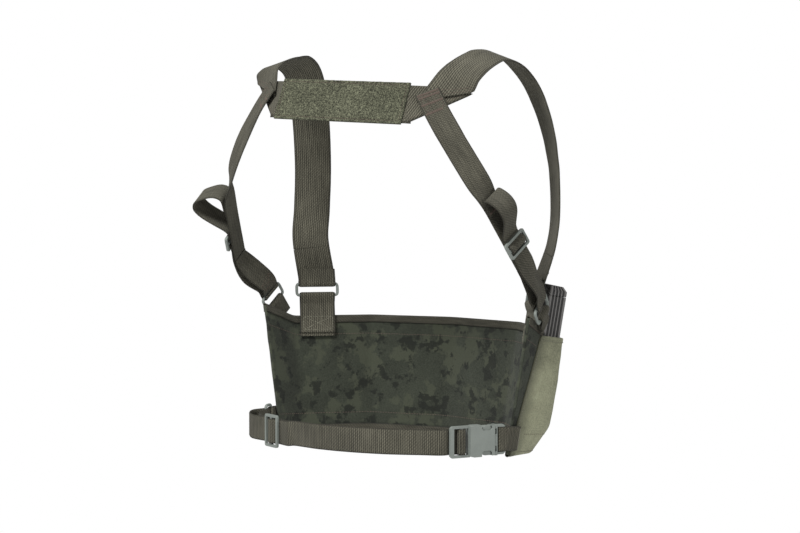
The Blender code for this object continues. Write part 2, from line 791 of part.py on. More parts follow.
def turn_round(bar, up, out, steps=6):
    """Stations of webbing half way round a bar, from its outer side under to its inner side."""
    stations = []
    for step in range(1, steps + 1):
        angle = math.pi * step / steps
        spot = bar + out * (TURN * math.cos(angle)) - up * (TURN * math.sin(angle))
        stations.append((spot, (spot - bar).normalized()))
    return stations


def build_lower_runs(side, label):
    """The two layers of side strap between the tri-glide and the side ring."""
    bar, up, out = side_top_bar(side)
    start_out = mirrored(glide_out(), side)
    start = GLIDE_LENGTH / 2 + 1.6
    outer = [(mirrored(glide_point(start, -WEAVE_RISE), side), start_out)]
    outer.append((mirrored(glide_point(start + 16.0, -WEAVE_RISE), side), start_out))
    outer.append((mirrored((174.5, -5.5, 152.5), side), mirrored((0.97, 0.06, 0.22), side)))
    outer.append((bar + up * 12.0 + out * (TURN + 0.8), out))
    outer.append((bar + up * 0.5 + out * TURN, out))
    stations = smooth(outer, 4) + turn_round(bar, up, out)
    stations.append((bar + up * 1.8 - out * TURN, -out))
    ribbon("outer_run_" + label, stations, NARROW - 0.6, WEB, webbing_material())
    layer = UNDER_LAYER + 2 * GAP
    first = (mirrored(glide_point(22.8, -layer), side), start_out)
    inner = [(mirrored(glide_point(27.0, -layer), side), start_out)]
    inner.append((mirrored((165.6, -8.0, 155.0), side), mirrored((0.97, 0.05, 0.22), side)))
    inner.append((bar + up * 13.0 - out * (TURN + 1.2), out))
    inner.append((bar + up * 3.4 - out * TURN, out))
    ribbon("inner_run_" + label, [first] + smooth(inner, 4), NARROW - 0.6, WEB, webbing_material())


def rectangle_path(centre, along, across, length, width, corner):
    """Points of a rounded rectangle, the middle line of a ring's bar."""
    path = []
    for quarter in range(4):
        x_sign = (1, -1, -1, 1)[quarter]
        y_sign = (1, 1, -1, -1)[quarter]
        middle = centre + across * (x_sign * (width / 2 - corner)) + along * (y_sign * (length / 2 - corner))
        for step in range(4):
            angle = math.pi / 2 * (quarter + step / 3)
            path.append(middle + across * (corner * math.cos(angle)) + along * (corner * math.sin(angle)))
    return path


def build_shoulder_strap(side, label):
    """The shoulder strap, and its lower end turned up round the front ring and sewn to itself."""
    frame = front_frame(side)
    _, _, up, out = frame
    bar = local(frame, 0.0, FRONT_BAR_UP + FRONT_RING_LENGTH - RING_BAR, front_bar_out())
    keys = to_side(shoulder_keys(), side)
    keys.append((bar + up * 9.0 + out * TURN, out))
    keys.append((bar + up * 0.5 + out * TURN, out))
    stations = smooth(keys, 4)
    cut = len(stations) - 7
    slant = side * SHOULDER_SLANT
    surface = webbing_material()
    strap = stations[:cut + 1]
    ribbon("shoulder_strap_" + label, strap, WIDE, WIDE_WEB, surface, slant, askew)
    near, far = stations[cut], stations[cut + 1]
    first = (near[0] + (far[0] - near[0]).normalized() * (3 * GAP), near[1])
    lower = [first] + stations[cut + 1:] + turn_round(bar, up, out)
    lower.append((bar + up * 6.0 - out * (TURN - 1.0), -out))
    lower.append((bar + up * 16.0 - out * (WEB + 2 * GAP - TURN), -out))
    ribbon("front_strap_end_" + label, lower, WIDE - 0.6, WEB, surface)


# ---------------------------------------------------------------- belt

def belt_point(angle, out=0.0):
    """A point on the back belt's path. The angle runs from the wearer's right round the back."""
    centre = Vector((BELT_A * math.cos(angle), -BELT_B * math.sin(angle), 0.0))
    return centre + belt_normal(angle) * out


def belt_normal(angle):
    return Vector((math.cos(angle) / BELT_A, -math.sin(angle) / BELT_B, 0.0)).normalized()


def belt_glide_out():
    return Vector((-BELT_GLIDE_AWAY.y, BELT_GLIDE_AWAY.x, 0.0))


def belt_glide_slots():
    inner = BELT_GLIDE_LENGTH / 2 - GLIDE_BAR
    bar = GLIDE_CENTRE_BAR / 2
    return ((-inner, -bar), (bar, inner))


def build_belt():
    """Back belt from the buckle's ladder to the left tri-glide, and its two runs to the left ring."""
    out = belt_glide_out()
    away = BELT_GLIDE_AWAY
    first = buckle_point(-1.2, 0.0, -(LADDER_THICK / 2 + GAP + WEB / 2))
    keys = [(first, buckle_axes()[2]), (buckle_point(-9.0, 0.0, -3.6), belt_normal(math.radians(42.0)))]
    for degrees in (52, 64, 76, 88, 100, 112):
        angle = math.radians(degrees)
        keys.append((belt_point(angle), belt_normal(angle)))
    lead = BELT_GLIDE_LENGTH / 2 + 1.6
    keys.append((BELT_GLIDE_CENTRE - away * (lead + 14.0) - out * WEAVE_RISE, out))
    keys.append((BELT_GLIDE_CENTRE - away * lead - out * WEAVE_RISE, out))
    ribbon("belt_strap", smooth(keys, 3), NARROW, WEB, webbing_material())

    across = Vector((0.0, 0.0, 1.0))
    slotted_plate("belt_glide", BELT_GLIDE_CENTRE, across, away, BELT_GLIDE_WIDTH, BELT_GLIDE_LENGTH,
                  GLIDE_THICK, belt_glide_slots(), plastic_material())
    stations = weave(BELT_GLIDE_CENTRE, away, out, BELT_GLIDE_LENGTH, belt_glide_slots())
    ribbon("belt_glide_webbing", stations, NARROW, WEB, webbing_material())

    bar, ring_out = belt_ring_bar()
    keys = [(BELT_GLIDE_CENTRE + away * lead - out * WEAVE_RISE, out)]
    keys.append((Vector((-124.0, -66.5, -1.0)), Vector((-0.60, -0.80, 0.0))))
    keys.append((Vector((-141.0, -49.0, -1.0)), Vector((-0.85, -0.52, 0.0))))
    keys.append((Vector((-147.5, -33.0, -1.0)), Vector((-0.98, -0.20, 0.0))))
    keys.append((bar + BELT_RING_AWAY * 0.5 + ring_out * TURN, ring_out))
    stations = smooth(keys, 4) + turn_round(bar, BELT_RING_AWAY, ring_out)
    ribbon("belt_outer_run", stations, NARROW, WEB, webbing_material())

    under = -(WEAVE_RISE + WEB + GAP)
    keys = [(bar + BELT_RING_AWAY * 0.6 - ring_out * TURN, ring_out)]
    keys.append((Vector((-133.5, -41.0, -1.0)), Vector((-0.86, -0.50, 0.0))))
    keys.append((Vector((-118.0, -61.5, -1.0)), Vector((-0.60, -0.80, 0.0))))
    keys.append((BELT_GLIDE_CENTRE + away * 12.0 + out * under, out))
    keys.append((BELT_GLIDE_CENTRE - away * 12.0 + out * under, out))
    keys.append((BELT_GLIDE_CENTRE - away * 26.0 + out * under, out))
    ribbon("belt_inner_run", smooth(keys, 3), NARROW, WEB, webbing_material())


def belt_ring_bar():
    """The ring bar that the belt turns round, and the ring's outward direction."""
    span = BELT_RING_LENGTH - RING_BAR
    out = Vector((BELT_RING_AWAY.y, -BELT_RING_AWAY.x, 0.0))
    return BELT_RING_CENTRE + BELT_RING_AWAY * (span / 2), out


def build_belt_ring():
    """The left ring, and the tab that holds it on the wing's outer face."""
    span = BELT_RING_LENGTH - RING_BAR
    up = Vector((0.0, 0.0, 1.0))
    path = rectangle_path(BELT_RING_CENTRE, BELT_RING_AWAY, up, span, BELT_RING_WIDTH - RING_BAR, 3.0)
    made = tube_ring("belt_ring", path, RING_BAR / 2, plastic_material())
    pivot = BELT_RING_CENTRE - BELT_RING_AWAY * (span / 2)
    set_origin(made, pivot)
    _, out = belt_ring_bar()
    seat = POUCH_SEAT + 2 * GAP + WEB / 2
    wing = belt_wing_frame(-1)
    stations = [(local(wing, ANCHOR_END + 0.5, 0.0, seat), wing[3])]
    stations.append((local(wing, ANCHOR_START, 0.0, seat), wing[3]))
    stations.append((pivot + BELT_RING_AWAY * -1.0 - out * TURN, out))
    back = [(point, (point - pivot).normalized()) for point, _ in turn_round(pivot, -BELT_RING_AWAY, out)]
    stations += [(point, -normal) for point, normal in reversed(back)]
    stations.append((pivot - BELT_RING_AWAY * 3.0 + out * TURN, -out))
    stations.append((local(wing, ANCHOR_END - 2.5, 0.0, seat + WEB + 2 * GAP + 1.0), -wing[3]))
    stations.append((local(wing, ANCHOR_END, 0.0, seat + WEB + 2 * GAP), -wing[3]))
    ribbon("belt_anchor_left", stations, NARROW, WEB, webbing_material())


def belt_wing_frame(side):
    """Frame of a wing's outer face at belt height: its middle, forward, up and out."""
    centre, along, up, out = segment_frame(0, side)
    return [centre - up * (PLAN_HEIGHT / math.cos(FLARE)), along, up, out]


# ---------------------------------------------------------------- side-release buckle

def buckle_axes():
    along = (BUCKLE_END - BUCKLE_START).normalized()
    up = Vector((0.0, 0.0, 1.0))
    return along, up, along.cross(up).normalized()


def buckle_point(p, q, n):
    along, up, out = buckle_axes()
    return BUCKLE_START + along * p + up * q + out * (n + BUCKLE_RISE)


def buckle_prism(name, outline, low, high):
    """Extrude a (P, Q) outline through the buckle's thickness."""
    points = [buckle_point(p, q, 0.0) for p, q in outline]
    return prism(name, points, buckle_axes()[2], low, high, plastic_material())


def boolean(target, other, operation):
    """Apply an exact boolean and remove the other object."""
    change = target.modifiers.new("shape", "BOOLEAN")
    change.operation = operation
    change.solver = "EXACT"
    change.object = other
    graph = bpy.context.evaluated_depsgraph_get()
    result = bpy.data.meshes.new_from_object(target.evaluated_get(graph))
    target.modifiers.clear()
    target.data = result
    bpy.data.objects.remove(other, do_unlink=True)


def box_outline(p0, p1, q0, q1):
    return [(p0, q0), (p1, q0), (p1, q1), (p0, q1)]


def build_buckle():
    half = BUCKLE_HEIGHT / 2
    build_socket(half)
    build_plug(half)
    build_buckle_webbing()
    build_belt_anchor_right()


def build_socket(half):
    """Ladder end and hollow housing, open towards the plug and at both side notches."""
    ladder = [(0.0, -half + 2), (2.0, -half), (HOUSING_START + 1.0, -half), (HOUSING_START + 1.0, half)]
    ladder += [(2.0, half), (0.0, half - 2)]
    socket = buckle_prism("buckle_socket", ladder, -LADDER_THICK / 2, LADDER_THICK / 2)
    for low, high in ((LADDER_END_BAR, LADDER_BAR_START), (LADDER_BAR_END, HOUSING_START - 1.0)):
        slot = buckle_prism("slot", box_outline(low, high, -half + 2.6, half - 2.6), -9.0, 9.0)
        boolean(socket, slot, "DIFFERENCE")
    thick = HOUSING_THICK / 2
    shell = [(HOUSING_START, -half + 1.0), (HOUSING_START + 4.0, -half), (NOTCH_START, -half)]
    shell += [(HOUSING_END, -half + 0.8), (HOUSING_END, half - 0.8), (NOTCH_START, half)]
    shell += [(HOUSING_START + 4.0, half), (HOUSING_START, half - 1.0)]
    boolean(socket, buckle_prism("housing", shell, -thick, thick), "UNION")
    inside = half - HOUSING_WALL
    bore = thick - HOUSING_WALL
    cavity = box_outline(HOUSING_START + 3.0, HOUSING_END + 5.0, -inside, inside)
    boolean(socket, buckle_prism("cavity", cavity, -bore, bore), "DIFFERENCE")
    for side in (-1, 1):
        inner = side * (half - NOTCH_DEPTH)
        outer = side * (half + 5.0)
        notch = [(NOTCH_START, outer), (NOTCH_START, inner + side * 2.0), (NOTCH_START + 2.0, inner)]
        notch += [(NOTCH_END - 2.0, inner), (NOTCH_END, inner + side * 2.0), (NOTCH_END, outer)]
        boolean(socket, buckle_prism("notch", notch, -9.0, 9.0), "DIFFERENCE")
    set_origin(socket, buckle_point(HOUSING_END, 0.0, 0.0))


def build_plug(half):
    """Plug base with its webbing slot and guide tongue, and the two flexing prongs."""
    thick = HOUSING_THICK / 2 - HOUSING_WALL - GAP
    top = half - 0.8
    inner = top - 2.4
    first = PLUG_START + 0.4
    base = [(first, -top), (PLUG_END - 2.0, -top), (PLUG_END, -top + 2.0), (PLUG_END, top - 2.0)]
    base += [(PLUG_END - 2.0, top), (first, top)]
    plug = buckle_prism("buckle_plug", base, -2.4, 2.4)
    collar = box_outline(PLUG_START, PLUG_SLOT[0] - 0.2, -top - 0.4, top + 0.4)
    boolean(plug, buckle_prism("collar", collar, -4.2, 4.2), "UNION")
    slot = buckle_prism("slot", box_outline(*PLUG_SLOT, -inner, inner), -9.0, 9.0)
    boolean(plug, slot, "DIFFERENCE")
    bar = box_outline(PLUG_SLOT[1] - 1.0, PLUG_END + 1.0, -inner, inner)
    for low, high in ((PLUG_BAR_THICK / 2, 9.0), (-9.0, -PLUG_BAR_THICK / 2)):
        boolean(plug, buckle_prism("recess", bar, low, high), "DIFFERENCE")
    tongue = [(PLUG_START + 1.0, -2.6), (PLUG_START + 1.0, 2.6), (TONGUE_START, 1.6), (TONGUE_START, -1.6)]
    boolean(plug, buckle_prism("tongue", tongue, -thick + 0.4, thick - 0.4), "UNION")
    for side, label in ((-1, "lower"), (1, "upper")):
        seat = box_outline(PRONG_ROOT - 2.6, PLUG_START + 1.8, *sorted((side * 6.0, side * 11.2)))
        boolean(plug, buckle_prism("seat", seat, -9.0, 9.0), "DIFFERENCE")
        outer = half - 0.9
        prong = [(PLUG_START + 1.4, side * 6.4), (PLUG_START + 1.4, side * 9.4)]
        prong += [(PRONG_ROOT - 2.0, side * 9.8), (NOTCH_END - 1.0, side * outer)]
        prong += [(NOTCH_START + 4.0, side * outer), (PRONG_TIP, side * 8.2)]
        prong += [(PRONG_TIP, side * 5.8), (NOTCH_START + 4.0, side * 7.6)]
        made = buckle_prism("buckle_prong_" + label, prong, -thick, thick)
        set_origin(made, buckle_point(PLUG_START, side * 8.0, 0.0))


def build_buckle_webbing():
    """Belt webbing turned over the ladder's middle bar."""
    low = -(LADDER_THICK / 2 + GAP + WEB / 2)
    high = -low
    under = low - WEB - GAP
    profile = [(-0.6, low), (LADDER_END_BAR + 0.6, low), (LADDER_BAR_START - 2.2, 0.2)]
    profile += [(LADDER_BAR_START - 0.2, high), (LADDER_BAR_END + 0.2, high), (LADDER_BAR_END + 2.4, 0.6)]
    profile += [(LADDER_BAR_END + 2.2, low - 0.6), (LADDER_BAR_END - 0.5, under - 0.4)]
    profile += [(8.0, under), (-0.6, under)]
    along, _, out = buckle_axes()
    stations = bend(profile, lambda p, n: buckle_point(p, 0.0, n), along, out)
    ribbon("buckle_webbing", stations, NARROW, WEB, webbing_material())


def build_belt_anchor_right():
    """Short webbing turned through the plug's slot and sewn on the wing's outer face."""
    _, bar = PLUG_SLOT
    reach = PLUG_BAR_THICK / 2 + GAP + WEB / 2
    axis, _, out = buckle_axes()
    wing = belt_wing_frame(1)
    seat = POUCH_SEAT + 2 * GAP + WEB / 2
    stack = seat + WEB + 2 * GAP
    stations = [(local(wing, ANCHOR_END, 0.0, stack), wing[3])]
    stations.append((local(wing, ANCHOR_END - 2.5, 0.0, stack + 0.8), wing[3]))
    stations += [(buckle_point(PLUG_END + 1.0, 0.0, reach), out), (buckle_point(bar, 0.0, reach), out)]
    for step in range(1, 6):
        angle = math.pi * step / 6
        spot = buckle_point(bar - reach * math.sin(angle), 0.0, reach * math.cos(angle))
        stations.append((spot, out * math.cos(angle) - axis * math.sin(angle)))
    stations += [(buckle_point(bar, 0.0, -reach), -out), (buckle_point(PLUG_END + 1.0, 0.0, -reach), -out)]
    stations.append((local(wing, ANCHOR_START, 0.0, seat), -wing[3]))
    stations.append((local(wing, ANCHOR_END + 0.5, 0.0, seat), -wing[3]))
    ribbon("belt_anchor_right", stations, NARROW - 1.0, WEB, webbing_material())


# ---------------------------------------------------------------- the whole rig

def build_rig():
    for old in list(bpy.data.objects):
        bpy.data.objects.remove(old, do_unlink=True)
    build_yoke()
    build_loop_panel()
    build_panel_strip("chest_panel", PANEL_BOTTOM, PANEL_TOP, 0.0, PANEL_THICK, panel_material())
    build_binding("binding_top", PANEL_TOP, -1)
    build_binding("binding_bottom", PANEL_BOTTOM, 1)
    for side, label, slack in ((1, "right", SLACK_RIGHT), (-1, "left", SLACK_LEFT)):
        build_shoulder_strap(side, label)
        front = front_frame(side)
        bar_out = front_bar_out()
        build_ring("front_ring_" + label, front, FRONT_BAR_UP, bar_out, FRONT_RING_WIDTH, FRONT_RING_LENGTH)
        build_tab("front_tab_" + label, front, FRONT_TAB_START, FRONT_BAR_UP, bar_out, FRONT_TAB_WIDTH, -1)
        build_diagonal(side, label)
        build_side_glide(side, label)
        build_glide_weave(side, label)
        build_slack_loop(side, label, *slack)
        build_lower_runs(side, label)
        wing = wing_frame(side)
        bar_out = side_bar_out()
        build_ring("side_ring_" + label, wing, SIDE_BAR_UP, bar_out, SIDE_RING_WIDTH, SIDE_RING_LENGTH)
        build_tab("side_tab_" + label, wing, SIDE_TAB_START, SIDE_BAR_UP, bar_out, SIDE_TAB_WIDTH, 1)
        build_pouch("pouch_outer_" + label, 1, side, True)
        build_pouch("pouch_inner_" + label, 2, side, False)
    build_magazine(1, 1, "right")
    build_belt()
    build_belt_ring()
    build_buckle()


build_rig()
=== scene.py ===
"""Looks of a load-bearing chest rig: webbing harness, fabric panel, pouches and plastic hardware."""

import json
import math

import bpy
import numpy as np
from mathutils import Matrix, Vector, noise

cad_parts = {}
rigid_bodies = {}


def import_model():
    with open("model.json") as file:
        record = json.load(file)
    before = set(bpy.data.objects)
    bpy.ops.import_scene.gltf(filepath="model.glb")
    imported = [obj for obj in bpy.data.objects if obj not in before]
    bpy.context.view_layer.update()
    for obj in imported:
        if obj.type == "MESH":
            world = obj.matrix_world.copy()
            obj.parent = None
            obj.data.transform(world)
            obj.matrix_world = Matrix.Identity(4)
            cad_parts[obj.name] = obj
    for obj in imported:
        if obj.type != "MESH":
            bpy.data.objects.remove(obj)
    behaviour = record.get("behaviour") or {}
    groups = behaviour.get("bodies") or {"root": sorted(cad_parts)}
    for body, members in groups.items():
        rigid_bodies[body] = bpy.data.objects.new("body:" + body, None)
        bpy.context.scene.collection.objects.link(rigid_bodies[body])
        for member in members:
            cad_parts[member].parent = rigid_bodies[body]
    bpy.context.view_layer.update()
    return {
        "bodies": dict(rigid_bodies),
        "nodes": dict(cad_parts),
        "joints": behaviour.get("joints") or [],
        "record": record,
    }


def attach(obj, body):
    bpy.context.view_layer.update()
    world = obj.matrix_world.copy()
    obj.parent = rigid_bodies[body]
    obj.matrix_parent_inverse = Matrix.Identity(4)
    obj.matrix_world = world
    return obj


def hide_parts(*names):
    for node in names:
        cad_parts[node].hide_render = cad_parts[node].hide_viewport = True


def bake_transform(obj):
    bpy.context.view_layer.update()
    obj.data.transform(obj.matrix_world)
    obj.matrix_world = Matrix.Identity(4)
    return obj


MM = 0.001
GAP = 0.3
UPRIGHT = Vector((0.0, 0.0, 1.0))
EDGE_ROUND = 0.45 * MM
MOULDED = ("buckle_", "side_glide", "belt_glide", "side_ring", "front_ring", "belt_ring")

# Surfaces by short name, filled by make_looks.
LOOKS = {}

# Webbing, in millimetres.
NARROW = 25.0
WIDE = 40.0
WEB = 1.6
WIDE_WEB = 1.8
STEP = 1.6
TIGHT_STEP = 0.9
FINE_STEP = 0.7
RUN_WIDTH = NARROW - 0.6
RUN_LEAD = 1.6
SEW_POINTS = 13
BAR_TACK_PITCH = 0.75
THREAD_RADIUS = 0.27
STITCH_LENGTH = 2.1
STITCH_PITCH = 3.0
TWILL_PITCH = 3.2

# Yoke across the back.
YOKE_Y = -83.0
YOKE_Z = 329.0
YOKE_HALF = 77.0
YOKE_TILT = math.radians(25.0)
YOKE_TURN = math.radians(30.0)
YOKE_TOP_REACH = 24.0
FOLD_ALONG = 61.5
FOLD_UP = 13.6
SHOULDER_SLANT = 40.0
SLANT_REACH = 50.0
LOOP_HEIGHT = 44.0
LOOP_THICK = 2.6
ASKEW = 0.05
SHOULDER_LAYER = WIDE_WEB + 3 * GAP
DIAGONAL_LAYER = SHOULDER_LAYER + WIDE_WEB / 2 + WEB / 2 + 4 * GAP

# Tri-glides.
GLIDE_CENTRE = Vector((171.0, -38.0, 192.0))
GLIDE_DOWN = Vector((0.215, 0.5175, -0.828)).normalized()
GLIDE_FACE = Vector((0.967, -0.217, 0.115))
GLIDE_OUT = (GLIDE_FACE - GLIDE_DOWN * GLIDE_FACE.dot(GLIDE_DOWN)).normalized()
GLIDE_LENGTH = 17.0
GLIDE_THICK = 2.6
GLIDE_BAR = 2.6
GLIDE_CENTRE_BAR = 3.0
WEAVE_RISE = GLIDE_THICK / 2 + GAP + WEB / 2
WEAVE_LEAD = 1.0
WEAVE_TURN = 0.3
UNDER_LAYER = WEAVE_RISE + WEB + GAP
SLACK_RIGHT = (47.0, 15.0)
SLACK_LEFT = (47.0, 36.0)
SLACK_SHAPE = ((0.0, 0.0), (0.10, 0.08), (0.26, 0.45), (0.42, 0.80), (0.60, 1.0),
               (0.78, 0.92), (0.92, 0.62), (1.0, 0.30))
SLACK_RETURN = ((0.96, 2.2), (0.84, 0.4), (0.62, 0.0))

# Chest panel and pouches.
PLAN = (Vector((148, 2)), Vector((144, 40)), Vector((88, 96)), Vector((6, 113)))
PLAN_HEIGHT = 50.0
FLARE = math.radians(9.3)
PANEL_BOTTOM = -18.0
PANEL_TOP = 102.0
PANEL_THICK = 3.0
WING_RISE = 16.0
BINDING_DEPTH = 7.0
BINDING_THICK = 0.9
POUCH_WIDTH = 75.0
POUCH_BOTTOM = -20.0
POUCH_HEIGHT = 117.0
POUCH_WALL = 1.3
POUCH_SEAT = BINDING_THICK + 2 * GAP
POUCH_DEPTHS = ((0.0, 9.0), (30.0, 24.5), (80.0, 25.0), (POUCH_HEIGHT, 23.5))
POUCH_SEAMS = (31.0, 27.0, 14.0, 5.2)
POUCH_FLANGE = 3.4
MAG_WIDTH = 64.0
MAG_IN = 3.2
MAG_OUT = 21.4
MAG_START = 8.0
MAG_SLOPE_END = 31.0
MAG_PLATE_START = 158.0
MAG_PLATE_EDGE = 4.6
MAG_END = 168.0
RIB_PITCH = 3.9
RIB_DEPTH = 1.0
MAG_CORNER = 2.2
POUCH_TAPE_DEPTH = 5.5
POUCH_TAPE_THICK = 0.45
PANEL_ROWS = 61

# Belt and buckle.
BELT_A = 139.0
BELT_B = 99.0
LOOP_CLEARANCE = 0.6
RUN_CLEARANCE = 0.6
BELT_GLIDE_CENTRE = Vector((-87.5, -83.0, -1.0))
BELT_GLIDE_AWAY = Vector((-0.92, 0.39, 0.0)).normalized()
BELT_GLIDE_OUT = Vector((-BELT_GLIDE_AWAY.y, BELT_GLIDE_AWAY.x, 0.0))
BELT_GLIDE_LENGTH = 24.0
BUCKLE_START = Vector((108.6, -61.8, 0.0))
BUCKLE_END = Vector((138.0, -10.3, 0.0))
BUCKLE_RISE = 4.0
LADDER_BAR_START = 11.0
LADDER_BAR_END = 14.0
LADDER_THICK = 3.2
PLUG_END = 60.5
PLUG_SLOT = (51.0, 55.2)
PLUG_BAR_THICK = 3.0
ANCHOR_START = -17.5
ANCHOR_END = -12.5

# Rings.
RING_BAR = 3.4
TURN = RING_BAR / 2 + GAP + WEB / 2
FRONT_TAB_START = -20.0
SIDE_TAB_START = -6.0
SIDE_TAB_LEVEL = 111.0
SIDE_TAB_BACK = 12.0
SIDE_TAB_TILT = math.radians(38.0)
SIDE_TAB_WIDTH = 22.0
SIDE_BAR_UP = 12.0
SIDE_BAR_OUT = BINDING_THICK + 3 * GAP + WEB / 2 + TURN
SIDE_RING_LENGTH = 18.0
FRONT_RING_ALONG = -17.0
FRONT_TAB_WIDTH = 38.0
FRONT_BAR_UP = 24.0
FRONT_BAR_OUT = -PANEL_THICK - SIDE_BAR_OUT
FRONT_RING_LENGTH = 16.0
BELT_RING_CENTRE = Vector((-143.0, -14.5, -1.0))
BELT_RING_AWAY = Vector((0.17, -0.985, 0.0)).normalized()
BELT_RING_OUT = Vector((BELT_RING_AWAY.y, -BELT_RING_AWAY.x, 0.0))
BELT_RING_LENGTH = 15.0
BELT_RING_HALF = BELT_RING_AWAY * ((BELT_RING_LENGTH - RING_BAR) / 2)

# Camera, in metres and degrees.
CAMERA_TURN = math.radians(33.0)
CAMERA_LIFT = math.radians(3.0)
CAMERA_DISTANCE = 2.0
CAMERA_ACROSS = 0.0112
CAMERA_UP = 0.1639
CAMERA_LENS = 88.0
CAMERA_SENSOR = 36.0

# Light, as a sky strength, lamp sizes in metres and lamp powers in watts.
SKY_LIGHT = 0.42
AIM_HEIGHT = 0.18
KEY_SIZE = 0.6
KEY_POWER = 58.0
FILL_SIZE = 1.1
FILL_POWER = 12.0
FLOOR_REACH = 3.9
FLOOR_LEVEL = -0.9
FLOOR_SIDES = 96


# ---- node materials

class Shader:
    """A Principled material under construction, with short ways to add its nodes."""

    def __init__(self, name, roughness, sheen=0.0, specular=0.3):
        self.made = bpy.data.materials.new(name)
        self.made.use_nodes = True
        self.tree = self.made.node_tree
        self.main = self.tree.nodes["Principled BSDF"]
        self.main.inputs["Roughness"].default_value = roughness
        self.main.inputs["Sheen Weight"].default_value = sheen
        self.main.inputs["Sheen Roughness"].default_value = 0.6
        self.main.inputs["Specular IOR Level"].default_value = specular
        self.place = self.add("ShaderNodeTexCoord").outputs["Object"]

    def add(self, kind, **values):
        node = self.tree.nodes.new(kind)
        for key, value in values.items():
            setattr(node, key, value)
        return node

    def link(self, start, end):
        if isinstance(start, (int, float)):
            end.default_value = start
        else:
            self.tree.links.new(start, end)

    def math(self, operation, *values):
        node = self.add("ShaderNodeMath", operation=operation)
        for socket, value in zip(node.inputs, values):
            self.link(value, socket)
        return node.outputs[0]

    def cloth(self):
        """The along-cloth coordinates in millimetres: across, along, and how near the edge, which is also
        set to 1 where the buckle's webbing gets painted shade.
        """
        attribute = self.add("ShaderNodeAttribute", attribute_name="cloth")
        parts = self.add("ShaderNodeSeparateXYZ")
        self.link(attribute.outputs["Vector"], parts.inputs[0])
        return parts.outputs

    def noise(self, scale, detail=2.0, rough=0.5, where=None):
        node = self.add("ShaderNodeTexNoise")
        node.inputs["Scale"].default_value = scale
        node.inputs["Detail"].default_value = detail
        node.inputs["Roughness"].default_value = rough
        self.link(where or self.place, node.inputs["Vector"])
        return node.outputs["Fac"]

    def ramp(self, value, stops):
        node = self.add("ShaderNodeValToRGB")
        while len(node.color_ramp.elements) < len(stops):
            node.color_ramp.elements.new(0.5)
        for element, (spot, colour) in zip(node.color_ramp.elements, stops):
            element.position = spot
            element.color = (*colour, 1.0)
        self.link(value, node.inputs["Fac"])
        return node.outputs["Color"]

    def mix(self, share, first, second):
        node = self.add("ShaderNodeMix", data_type="RGBA")
        self.link(share, node.inputs[0])
        for value, socket in ((first, node.inputs[6]), (second, node.inputs[7])):
            if isinstance(value, tuple):
                socket.default_value = (*value, 1.0)
            else:
                self.tree.links.new(value, socket)
        return node.outputs[2]

    def vary(self, value, change, amount):
        """A value moved up or down by a noise, in step with an amount."""
        return self.math("ADD", value, self.math("MULTIPLY", self.math("SUBTRACT", change, 0.5), amount))

    def stretch(self, value, low, high, to_low=0.0, to_high=1.0):
        node = self.add("ShaderNodeMapRange")
        for socket, number in zip(node.inputs[1:5], (low, high, to_low, to_high)):
            socket.default_value = number
        self.link(value, node.inputs[0])
        return node.outputs[0]

    def bump(self, height, distance, strength=1.0):
        node = self.add("ShaderNodeBump")
        node.inputs["Strength"].default_value = strength
        node.inputs["Distance"].default_value = distance
        self.link(height, node.inputs["Height"])
        self.link(node.outputs["Normal"], self.main.inputs["Normal"])

    def colour(self, value):
        self.link(value, self.main.inputs["Base Color"])

    def rough(self, value):
        self.link(value, self.main.inputs["Roughness"])


def shade(colour, amount):
    return tuple(channel * amount for channel in colour)


def webbing_look(name, colour, warp_pitch, weft_pitch, crosswise=False):
    """Nylon webbing: ribs along the strap or crosswise, crossed by weft, with a dark selvedge."""
    look = Shader(name, 0.88, sheen=0.04, specular=0.14)
    across, along, edge = look.cloth()
    if crosswise:
        across, along = along, across
    column = look.math("DIVIDE", across, warp_pitch)
    parity = look.math("MULTIPLY", look.math("FLOORED_MODULO", look.math("FLOOR", column), 2.0), 0.5)
    rib = look.math("SINE", look.math("MULTIPLY", look.math("FRACT", column), math.pi))
    row = look.math("ADD", look.math("DIVIDE", along, weft_pitch), parity)
    weft = look.math("ABSOLUTE", look.math("SINE", look.math("MULTIPLY", row, math.pi)))
    height = look.math("MULTIPLY", rib, look.math("MULTIPLY_ADD", weft, 0.55, 0.45))
    grain = look.noise(900.0, 2.0)
    slope = look.math("MULTIPLY", look.math("ADD", across, along), 2 * math.pi / TWILL_PITCH)
    twill = look.math("MULTIPLY", look.math("SINE", slope), 0.10)
    streak = look.add("ShaderNodeCombineXYZ")
    look.link(look.math("MULTIPLY", across, 0.9), streak.inputs[0])
    look.link(look.math("MULTIPLY", along, 0.035), streak.inputs[1])
    streaks = look.noise(1.0, 2.0, where=streak.outputs[0])
    tone = look.math("MULTIPLY_ADD", height, 0.62, look.math("MULTIPLY_ADD", grain, 0.36, twill))
    tone = look.vary(tone, streaks, 0.6)
    tone = look.vary(tone, look.noise(28.0, 3.0), 0.4)
    base = look.ramp(tone, ((0.12, shade(colour, 0.28)), (0.50, colour), (0.95, shade(colour, 2.3))))
    # The border darkening gives the dark selvedge, and it is also painted shade where the buckle's slots are
    # marked as edge.
    border = look.stretch(edge, 0.88, 0.97)
    look.colour(look.mix(look.math("MULTIPLY", border, 0.7), base, shade(colour, 0.30)))
    look.rough(look.stretch(tone, 0.0, 1.0, 0.92, 0.70))
    look.bump(height, 0.0007, 1.0)
    return look.made


